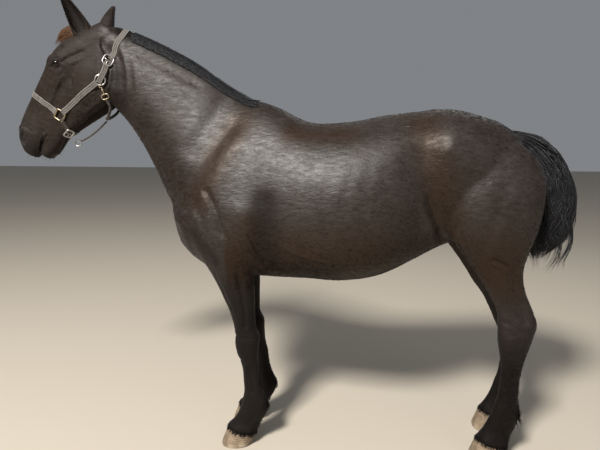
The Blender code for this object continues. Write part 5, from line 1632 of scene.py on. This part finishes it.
def whiskers(hide, look):
    """A few long feelers on the lips, the chin and under the eyes."""
    count, by_eyes = 90, 14
    ranges = ((0.585, 0.680), (-0.115, 0.0), (0.0, 0.05))
    local = np.stack([RNG.uniform(low, high, count) for low, high in ranges], 1)
    local[:by_eyes, 0] = RNG.uniform(0.225, 0.265, by_eyes)
    local[:by_eyes, 1] = RNG.uniform(0.008, 0.016, by_eyes)
    local[:by_eyes, 2] = 0.10
    local[:, 2] *= RNG.choice((-1, 1), count)
    roots, normals, spots = hide.nearest(from_head(local))
    down = np.array([-0.25, 0.0, -0.6])
    way = unit(normals * 0.8 + down * 0.35 + RNG.normal(scale=0.15, size=(count, 3)))
    steps = np.linspace(0, 1, 5)
    length = RNG.uniform(0.012, 0.030, count)[:, None, None]
    spines = roots[:, None] + way[:, None] * steps[:, None] * length
    spines[..., 2] -= 0.25 * steps**2 * length[..., 0]
    return [coat_locks("whiskers", spines, taper(5, 0.00035, 0.2, count), roots, normals, spots, look)]


# ---------------------------------------------------------------- ears
def ear_shell(side):
    """A scoop of skin with thickness, flared at the root, its edges turned."""
    root, tip_way, open_way, length = EARS[side]
    axis = unit(tip_way)
    opening = unit(level_with(np.array(open_way, float), axis))
    across = np.cross(axis, opening)
    start = from_head(root)[0] - axis * EAR_SUNK
    rows, columns = 46, 37
    t = np.linspace(0, 1, rows)[:, None]
    turn = np.linspace(-1, 1, columns)[None]
    angle = np.radians(150 - 75 * t) * turn
    radius = EAR_HALF_WIDTH * (1.22 - 0.66 * t) * np.sqrt(np.maximum(1 - t**2.6, 0.0006))
    edge = np.clip((np.abs(turn) - 0.82) / 0.18, 0, 1)
    radius = radius * (1 + 0.05 * edge * np.minimum(1, 4 * t))
    radius = radius * (1 + 0.02 * np.cos(angle * 5) * np.minimum(1, 3 * t) * (1 - t))
    radius = radius * (1 - EAR_PINCH[0] * np.maximum(0, 1 - t / EAR_PINCH[1]) * turn**4)
    out = across * np.sin(angle)[..., None] - opening * (np.cos(angle) * EAR_FLAT)[..., None]
    bend = -EAR_BEND[side] * np.sin(math.pi * t)
    middle = start + axis * (length * t)[..., None] + opening * bend[..., None]
    points = middle + out * radius[..., None]
    normal = unit(np.cross(np.gradient(points, axis=0), np.gradient(points, axis=1)))
    thick = normal * (0.0019 * (1 - 0.65 * np.abs(turn) ** 6) * (1 - 0.5 * t**3))[..., None]
    layers = [points + thick, points - thick]
    if (normal[10, columns // 2] @ out[10, columns // 2]) < 0:
        layers.reverse()
    size = rows * columns
    a = (np.arange(rows - 1)[:, None] * columns + np.arange(columns - 1)).ravel()
    faces = [(k, k + 1, k + 1 + columns, k + columns) for k in a]
    faces += [(size + k, size + k + columns, size + k + 1 + columns, size + k + 1) for k in a]
    last = (rows - 1) * columns
    ridge = [*range(0, last, columns), *range(last, size), *range(last - 1, 0, -columns)]
    ridge += range(columns - 2, 0, -1)
    faces += [(p, q, size + q, size + p) for p, q in zip(ridge, ridge[1:] + ridge[:1])]
    inside = np.repeat([0.0, 1.0], size)
    return np.reshape(layers, (-1, 3)), faces, inside, (*layers, axis, opening)


def with_ears(body):
    """The skin joined with both ears; the ears' inner sides are marked bare."""
    pieces = [body]
    bare = [np.zeros(len(body.data.vertices))]
    for side in SIDES:
        points, faces, inside, _ = ear_shell(side)
        item = mesh_object("ear", points, faces, body.data.materials[0])
        with opened(item) as work:
            bmesh.ops.recalc_face_normals(work, faces=work.faces)
            bmesh.ops.triangulate(work, faces=work.faces)
        pieces.append(item)
        bare.append(inside)
    merged("skin", pieces)
    return np.concatenate(bare)


def ear_hair(hide, look):
    """Pale fringes along the ears' edges and soft hair inside them."""
    spines, outs = [], []
    steps = np.linspace(0, 1, 5)[:, None]
    for side in SIDES:
        _, _, _, (outer, inner, axis, opening) = ear_shell(side)
        rows, columns = outer.shape[:2]
        rim, bowl = (420, 0.0, 0.10, 0.9, 0.012), (520, 0.10, 0.75, 0.35, 0.016)
        for number, low, high, inward, length in (rim, bowl):
            count = fewer(number)
            i = (RNG.uniform(0.12, 0.97, count) * (rows - 1)).astype(int)
            edge = RNG.uniform(low, high, count) / 2
            k = (np.where(RNG.random(count) < 0.5, edge, 1 - edge) * (columns - 1)).astype(int)
            start = inner[i, k]
            to_middle = unit(inner[i, columns // 2] - start)
            way = axis * 0.55 + opening * 0.40 - to_middle * 0.10 * inward
            way = unit(way + RNG.normal(scale=0.16, size=(count, 3)))
            size = (RNG.uniform(0.6, 1.2, count) * length)[:, None, None]
            bend = to_middle[:, None] * steps**2 * size * 0.35
            spines.append(start[:, None] + way[:, None] * steps * size + bend)
            outs.append(opening + to_middle * 0.4)
        count = fewer(900)
        i = (RNG.uniform(0.05, 0.97, count) * (rows - 1)).astype(int)
        k = (RNG.uniform(0.02, 0.98, count) * (columns - 1)).astype(int)
        start = outer[i, k]
        out = unit(start - inner[i, k])
        way = unit(axis + out * 0.22 + RNG.normal(scale=0.12, size=(count, 3)))
        size = RNG.uniform(0.005, 0.008, count)[:, None, None]
        spines.append(start[:, None] + way[:, None] * steps * size)
        outs.append(out)
    spines = np.concatenate(spines)
    spots = hide.nearest(spines[:, 0])[2]
    marks, zones = (np.tile(row, (len(spines), 1)) for row in ((0.10, 0.35, 0.0), (1.0, 0.0, 1.0)))
    widths = taper(5, 0.0006, 0.3, len(spines))
    return [locks("ear_hair", spines, widths, spots, look, marks, zones, np.concatenate(outs))]


# ---------------------------------------------------------------- eyes and hooves
PUPIL_WAY = (0.94, 0.0, -0.34)  # the pupil's long axis stays nearly level


def eyeball(side, look):
    """A ball with a clear bulge in front, a brown iris and a level oval pupil."""
    centre, long, up, out = eye_axes(SIDES[side])
    rows, columns = 60, 72
    tilt = np.linspace(0, math.pi, rows)[:, None]
    turn = np.linspace(0, 2 * math.pi, columns, endpoint=False)[None]
    radius = EYE_RADIUS + 0.0011 * smooth_step((0.72 - tilt) / 0.72)
    ways = np.stack([np.sin(tilt) * np.cos(turn), np.sin(tilt) * np.sin(turn), np.cos(tilt) + 0 * turn], -1)
    points = centre + (ways * radius[..., None]) @ np.array([long, up, out])
    item = mesh_object(f"eyeball_{side}", points.reshape(-1, 3), loft_faces(rows, columns)[0], look)
    with opened(item) as work:
        bmesh.ops.remove_doubles(work, verts=work.verts, dist=1e-6)
        bmesh.ops.recalc_face_normals(work, faces=work.faces)
    item.data.shade_smooth()
    rel = coordinates(item.data) - centre
    front = rel @ out > 0
    level = unit(level_with(np.array(PUPIL_WAY), out))
    tall = np.cross(out, level)
    pupil = 1 - smooth_step((np.hypot((rel @ level) / 0.0088, (rel @ tall) / 0.0048) - 0.9) / 0.2)
    iris = 1 - smooth_step((np.hypot(rel @ long, rel @ up) - 0.0128) / 0.0020)
    set_vectors(item, "marks", np.stack([pupil * front, iris * front, iris * 0], 1))
    return item


def hoof_shell(kind, side, look):
    """A hoof's wall with growth rings, from the coronet down to the sole."""
    flip, sides = SIDES[side], 64
    top_front, top_back, toe, heel = (np.array(p) for p in HOOF[kind])
    down = np.array([top_back[1] - top_front[1], top_front[0] - top_back[0]])
    clear = unit(down) * 2 * CUT
    levels = np.array(list(HOOF_LEVELS.values()))
    rings, shares = [], np.append(np.linspace(0, levels[-1, 0], 30), (1.0, 1.0))
    for share in shares[:-2]:
        half_width, heel_in = (np.interp(share, levels[:, 0], levels[:, k]) for k in (1, 2))
        front = top_front + clear + (toe - top_front) * share
        back = top_back + clear + (heel - top_back) * share
        row = ring([*front, *back, half_width, HOOF_Y[kind], 2.3, heel_in], sides)
        wave = 0.0007 * math.sin(share * 41) + 0.0004 * math.sin(share * 93 + 1)
        middle = row.mean(0)
        rings.append(middle + (row - middle) * (1 + wave / half_width - 0.008))
    for inset in (0.0, 0.06):
        edge = SOLE_EDGE + inset * 0.1
        half_width = SOLE_HALF_WIDTH * (1 - inset) - 0.001
        row = [toe[0] + edge, 0, heel[0] - edge, 0, half_width, HOOF_Y[kind], 2.3, 0.1]
        rings.append(ring(row, sides))
    for points in rings:
        points[:, 1] *= flip
        points[:, 0] += FAR[kind](0.05) if flip > 0 else 0.0
    item = mesh_object(f"horn_{kind}_{side}", *tube(rings), look)
    item.data.shade_smooth()
    share = np.append(np.repeat(shares, sides), (0.0, 0.0))
    set_vectors(item, "marks", np.stack([share, share * 0, share * 0], 1))
    return item


# ---------------------------------------------------------------- halter
STRAP_LIFT = 0.0022  # of a strap's middle layer off the skin, besides half its thickness
SLACK = 0.0006  # round a wire, besides the strap's thickness
STRAP_STEP = 0.0035  # between a strap's sections
HOOK = 0.0043  # from a wire's middle to the middle of the strap round it


def on_skin(path, hide, clear):
    """A path laid over the skin at a clearance, with smoothed normals."""
    path = np.array(path, float)
    for _ in range(4):
        spots, normals, _ = hide.nearest(path)
        path = softened(spots + normals * clear)
    return path, unit(softened(normals, 8))


def rounded(width, thickness):
    """The section of a strap: a flat bar with soft edges and slight piping."""
    a, b = width / 2, thickness / 2
    half = [(-a, 0), (-a + 0.0004, b * 0.75)]
    half += [(-a * x, b * y) for x, y in ((0.90, 1.05), (0.74, 0.82), (0.55, 1.0), (0.1, 1.0), (0, 0.84))]
    top = half + [(-x, y) for x, y in half[-2::-1]]
    return np.array(top + [(x, -y) for x, y in top[-2:0:-1]])


def webbing(name, path, normals, width, look, thickness=0.0028):
    """A strap along a path, with metres along it and its breadth as texture places."""
    along = unit(np.gradient(path, axis=0))
    across = unit(np.cross(along, normals))
    up = np.cross(across, along)
    section = rounded(width, thickness)
    count, sides = len(path), len(section)
    rings = path[:, None] + across[:, None] * section[:, :1] + up[:, None] * section[:, 1:]
    item, _ = quick_mesh(name, rings.reshape(-1, 3), *loft_faces(count, sides), look)
    with opened(item) as work:
        bmesh.ops.recalc_face_normals(work, faces=work.faces)
    run = np.concatenate([[0], np.cumsum(np.linalg.norm(np.diff(path, axis=0), axis=1))])
    places = np.stack([np.repeat(run, sides), np.tile(section[:, 0] / (width / 2), count)], 1)
    set_places(item, "weave", places, read(item.data.loops, "vertex_index", 1, np.int32))
    return item


def hook_profile(path, normals):
    """The strap's first end rising to a wire, going round it and lying back beneath."""
    run = np.linalg.norm(path - path[0], axis=1)
    rise = np.interp(run, (0, 0.022, 0.040), (HOOK * 2 + SLACK, 0.0034, 0.0))
    laid = path + normals * rise[:, None]
    normal = normals[0]
    inward = unit(level_with(path[2] - path[0], normal))
    angle = math.pi * np.arange(6, 0, -1)[:, None] / 6
    arc = normal * np.cos(angle) - inward * np.sin(angle)
    under = [np.argmin(np.abs(run - s)) for s in (0.024, 0.018, 0.012, 0.006)]
    back = path[under] - normals[under] * 0.0004
    laid = np.concatenate([back, laid[0] - normal * HOOK + arc * HOOK, laid])
    return laid, np.concatenate([-normals[under], arc, normals])


def laid_strap(name, points, ends, hide, width, look, hooks=(True, True)):
    """A strap over the skin, its ends going round wires at those distances."""
    path, normals = on_skin(smooth_path(points, STRAP_STEP), hide, STRAP_LIFT)
    path, normals = trimmed(path, normals, *ends)
    for hooked in hooks:
        if hooked:
            path, normals = hook_profile(path, normals)
        path, normals = path[::-1], normals[::-1]
    return webbing(name, path, normals, width, look)


def wire_loop(name, centre, normal, up, halves, wire, look, square=2.0, count=48, sides=12):
    """A closed wire: a ring, an oval or a rounded square; and the ways it lies."""
    normal = unit(normal)
    up = unit(level_with(np.array(up, float), normal))
    side = np.cross(up, normal)
    angle = 2 * math.pi * (np.arange(count) + 0.5) / count
    u, v = (np.sign(w) * np.abs(w) ** (2 / square) for w in (np.cos(angle), np.sin(angle)))
    path = np.array(centre) + u[:, None] * halves[0] * side + v[:, None] * halves[1] * up
    return bar(name, path, wire, look, closed=True, sides=sides), (side, up, normal)


def bar(name, path, radius, look, closed=False, sides=12):
    """A round bar or wire along a path; radius may differ along it."""
    path = np.array(path, float)
    count = len(path)
    along = unit(np.roll(path, -1, 0) - np.roll(path, 1, 0) if closed else np.gradient(path, axis=0))
    side = np.cross(along[0], (0.31, 0.17, 0.93))
    angle = 2 * math.pi * np.arange(sides)[:, None] / sides
    rings = []
    for p, r, way in zip(path, np.broadcast_to(radius, count), along):
        side = unit(level_with(side, way))
        rings.append(p + r * (np.cos(angle) * side + np.sin(angle) * np.cross(way, side)))
    return quick_mesh(name, np.concatenate(rings), *loft_faces(count, sides, closed), look)[0]


def merged(name, items):
    with bpy.context.temp_override(active_object=items[0], selected_editable_objects=items):
        bpy.ops.object.join()
    items[0].name = name
    return items[0]


def halter_pieces(hide, web, rolled_look, steel, brass):
    """Every piece of the halter with the node that it stands for."""
    sided = [(name, side) for name in HALTER for side in SIDES]
    at = {(name, side): from_head(HALTER[name], SIDES[side])[0] for name, side in sided}
    made = []

    def add(item, node):
        made.append((item, f"halter_{node}"))

    def chain(*names):
        return [at[name, "left"] for name in names] + [at[name, "right"] for name in names[-2::-1]]

    def strap(name, points, ends, look=web, width=STRAP_WIDTH, **more):
        return laid_strap(name, points, ends, hide, width, look, **more)

    def fitting(name, side, half, wire, look, *shape):
        spot, normal, _ = hide.nearest([at[name, side]])
        centre = spot[0] + normal[0] * (STRAP_LIFT + HOOK + SLACK)
        loop, _ = wire_loop(name, centre, normal[0], CHEEK_UP, (half, half), wire, look, *shape)
        add(loop, f"{name}_{side}")

    ring_end, square_end = HOOP_HALF, SQUARE_HALF + 0.001
    for side in SIDES:
        fitting("ring", side, HOOP_HALF, WIRE + 0.0003, steel)
        fitting("square", side, SQUARE_HALF + 0.002, WIRE + 0.0009, brass, 6.0)
        path = [at[name, side] for name in ("ring", "cheek", "square")]
        add(strap("cheek_strap", path, (ring_end, square_end)), f"cheek_strap_{side}")
        add(snap_hook(at["snap_top", side], at["snap_foot", side], hide, brass), f"snap_{side}")
    buckle, hoop = at["crown_buckle", "left"], at["ring", "left"]
    add(buckle_frame("crown", buckle, BUCKLE_HALVES, hide, steel, 3.2), "crown_buckle")
    end = strap("crown_end", (hoop, buckle), (ring_end, 0.003))
    path = smooth_path([buckle, hoop, hoop + (hoop - buckle) * 0.14], STRAP_STEP)
    path, normals = trimmed(*on_skin(path, hide, STRAP_LIFT + 0.0068), 0.010, 0.0)
    lift = np.interp(np.linspace(0, 1, len(path)), (0, 0.25, 0.6, 1), (0.0035, 0.0, 0.0045, 0.0045))
    tongue = webbing("crown_tongue", path + normals * lift[:, None], normals, STRAP_WIDTH - 0.002, web)
    add(merged("crown_end", [end, tongue]), "crown_end")
    crown = chain("ring", "crown_buckle", "crown_side", "crown_edge", "crown_top")[1:]
    add(strap("crown_strap", crown, (0.006, ring_end), hooks=(False, True)), "crown_strap")
    nose = chain("square", "nose_side", "nose_edge", "nose_top")
    add(strap("noseband", nose, (square_end, square_end)), "noseband")
    chin = chain("square", "chin_side", "chin")
    keeper_at = 0.036
    under = strap("chin_strap", chin, (square_end, square_end), rolled_look, CHIN_STRAP_WIDTH)
    keeper = keeper_loop(smooth_path(chin, STRAP_STEP), keeper_at, hide, rolled_look)
    add(merged("chin_strap", [under, keeper]), "chin_strap")
    spot = at["chin_buckle", "left"]
    add(buckle_frame("chin", spot, CHIN_BUCKLE_HALVES, hide, steel, 5.0, 0.003), "chin_buckle")
    throat = [at[name, "left"] for name in ("throat_side", "throat_back", "throat_edge")]
    throat += [at[name, "right"] for name in ("throat", "throat_far", "throat_end")]
    roll = bar("throat_strap", smooth_path(throat, 0.005), THROAT_ROLL, rolled_look, sides=16)
    add(roll, "throat_strap")
    below = at["throat", "left"] + np.array([-0.004, 0, -THROAT_ROLL - LINK_RADIUS])
    share = np.linspace(0, 1, 24)[:, None]
    line = below * (1 - share) + at["link_front", "left"] * share
    sag = np.array([0, 0, -0.010]) * np.sin(math.pi * share)
    add(bar("link_strap", line + sag, LINK_RADIUS, rolled_look), "link_strap")
    halves = (CHIN_RING_HALF, CHIN_RING_HALF)
    loop, _ = wire_loop("chin_ring", at["chin_ring", "left"], (0, 1, 0), (0, 0, 1), halves, WIRE, steel)
    add(loop, "chin_ring")
    return made


def buckle_frame(name, place, halves, hide, look, square, more=0.0):
    """A frame with its middle bar and tongue."""
    spot, normal, _ = hide.nearest([place])
    centre = spot[0] + normal[0] * (STRAP_LIFT + HOOK + 0.0016 + more)
    rim, (side, up, out) = wire_loop(name, centre, normal[0], CHEEK_UP, halves, WIRE + 0.0008, look, square)
    half, reach = side * halves[0], halves[1]
    middle = bar("middle", [centre - half, centre, centre + half], WIRE * 0.8, look)
    bends = (0, 0.002), (reach * 0.5, 0.0045), (reach + 0.003, 0.0030)
    line = [centre - up * down + out * rise for down, rise in bends]
    return merged(f"{name}_buckle", [rim, middle, bar("tongue", line, WIRE * 0.72, look)])


def keeper_loop(path, away, hide, look):
    """A small loop of strapping that holds the strap's free end."""
    k = np.argmin(np.abs(np.linalg.norm(path - path[0], axis=1) - away))
    laid, normals = on_skin(path[k - 2 : k + 3], hide, STRAP_LIFT)
    across = np.cross(unit(laid[3] - laid[1]), normals[2])
    s = np.linspace(-1, 1, 15)[:, None]
    bow = 0.0030 * (1 - np.abs(s) ** 6) - 0.0006
    line = laid[2] + across * (CHIN_STRAP_WIDTH / 2 + 0.0016) * s + normals[2] * bow
    return webbing("keeper", line, unit(normals[2] + across * s**5 * 1.5), 0.008, look, 0.0022)


def snap_hook(top, foot, hide, look):
    """A bolt snap from the cheek ring down to the rolled strap's loop."""
    spots, normals, _ = hide.nearest([top, (top + foot) / 2, foot])
    line = spots + normals * 0.0085
    way, normal = unit(line[2] - line[0]), normals[1]
    across = np.cross(way, normal)
    share = np.linspace(0, 1, 20)
    body = line[0] + (line[2] - line[0]) * share[:, None]
    swell = 0.0030 + 0.0016 * np.exp(-(((share - 0.45) / 0.16) ** 2))
    swell += 0.0008 * np.exp(-(((share - 0.85) / 0.08) ** 2))
    barrel = bar("barrel", body, swell, look, sides=14)
    turn = np.linspace(-0.35 * math.pi, 1.15 * math.pi, 18)[:, None]
    curve = line[0] - way * 0.007 + 0.0085 * (np.cos(turn) * across - np.sin(turn) * way)
    hook = bar("hook", curve, 0.0024, look)
    loop, _ = wire_loop("loop", line[2] + way * 0.010, normal, across, (0.0105, 0.0150), 0.0024, look, 4.0)
    thumb = bar("thumb", [line[1] + normal * 0.003, line[1] + normal * 0.0085], 0.0018, look)
    return merged("snap", [barrel, hook, loop, thumb])


# ---------------------------------------------------------------- the whole
FLESH = ("head", "neck", "trunk", "fore_leg_left", "fore_leg_right", "hind_leg_left", "hind_leg_right")


def unwrapped(body):
    """An unwrap of the skin's own shape, in islands by the way its faces look."""
    body.data.uv_layers.new(name="OFBake")
    bpy.context.view_layer.objects.active = body
    body.select_set(True)
    bpy.ops.object.mode_set(mode="EDIT")
    bpy.ops.mesh.select_all(action="SELECT")
    bpy.ops.uv.smart_project(angle_limit=math.radians(66), island_margin=0.002)
    bpy.ops.object.mode_set(mode="OBJECT")
    body.select_set(False)


def settle(item, slot, *nodes):
    item.location.x = -MIDDLE_X
    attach(item, "root")
    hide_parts(*nodes)


def main():
    camera()
    studio()
    coat = coat_look()
    body = skin()
    body.data.materials.append(coat)
    bare = with_ears(body)
    unwrapped(body)
    points = coordinates(body.data)
    marks = marks_of(points)
    marks[:, 2] = np.maximum(marks[:, 2], bare * 0.8)
    set_vectors(body, "marks", marks)
    set_vectors(body, "zones", zones_of(points))
    set_vectors(body, "skin_normal", normals_of(body.data))
    settle(body, "coat", *FLESH, "ear_left", "ear_right")
    hide = Hide(body)
    for item in coat_tufts(hide, coat) + whiskers(hide, coat) + ear_hair(hide, coat):
        settle(item, "coat", "trunk")
    for item in feather_hair(hide, coat):
        settle(item, "coat", "hind_leg_left")
    long_hair = hair_look("long_hair", (0.0030, 0.0030, 0.0034), (0.010, 0.0095, 0.0105), 0.10)
    tuft = hair_look("forelock_hair", (0.030, 0.013, 0.006), (0.120, 0.056, 0.023), 0.05)
    for node, grown, look in (
        ("tail", tail_hair, long_hair),
        ("mane", mane_hair, long_hair),
        ("forelock", forelock_hair, tuft),
    ):
        for item in grown(hide, look):
            settle(item, "hair", node)
    glass, horn = eye_look(), hoof_look()
    for side in SIDES:
        settle(eyeball(side, glass), "eye", f"eye_{side}")
        for kind in ("fore", "hind"):
            settle(hoof_shell(kind, side, horn), "hoof", f"hoof_{kind}_{side}")
    steel = metal_look("steel", (0.50, 0.49, 0.48), (0.20, 0.19, 0.18), 0.30)
    brass = metal_look("brass", (0.36, 0.30, 0.20), (0.16, 0.13, 0.09), 0.34)
    for item, node in halter_pieces(hide, webbing_look(), leather_look(), steel, brass):
        slot = "strap" if "strap" in node or "noseband" in node or "crown_end" in node else "steel"
        slot = "brass" if "square" in node else slot
        item.name = node.replace("halter_", "worn_")
        settle(item, slot, node)


main()
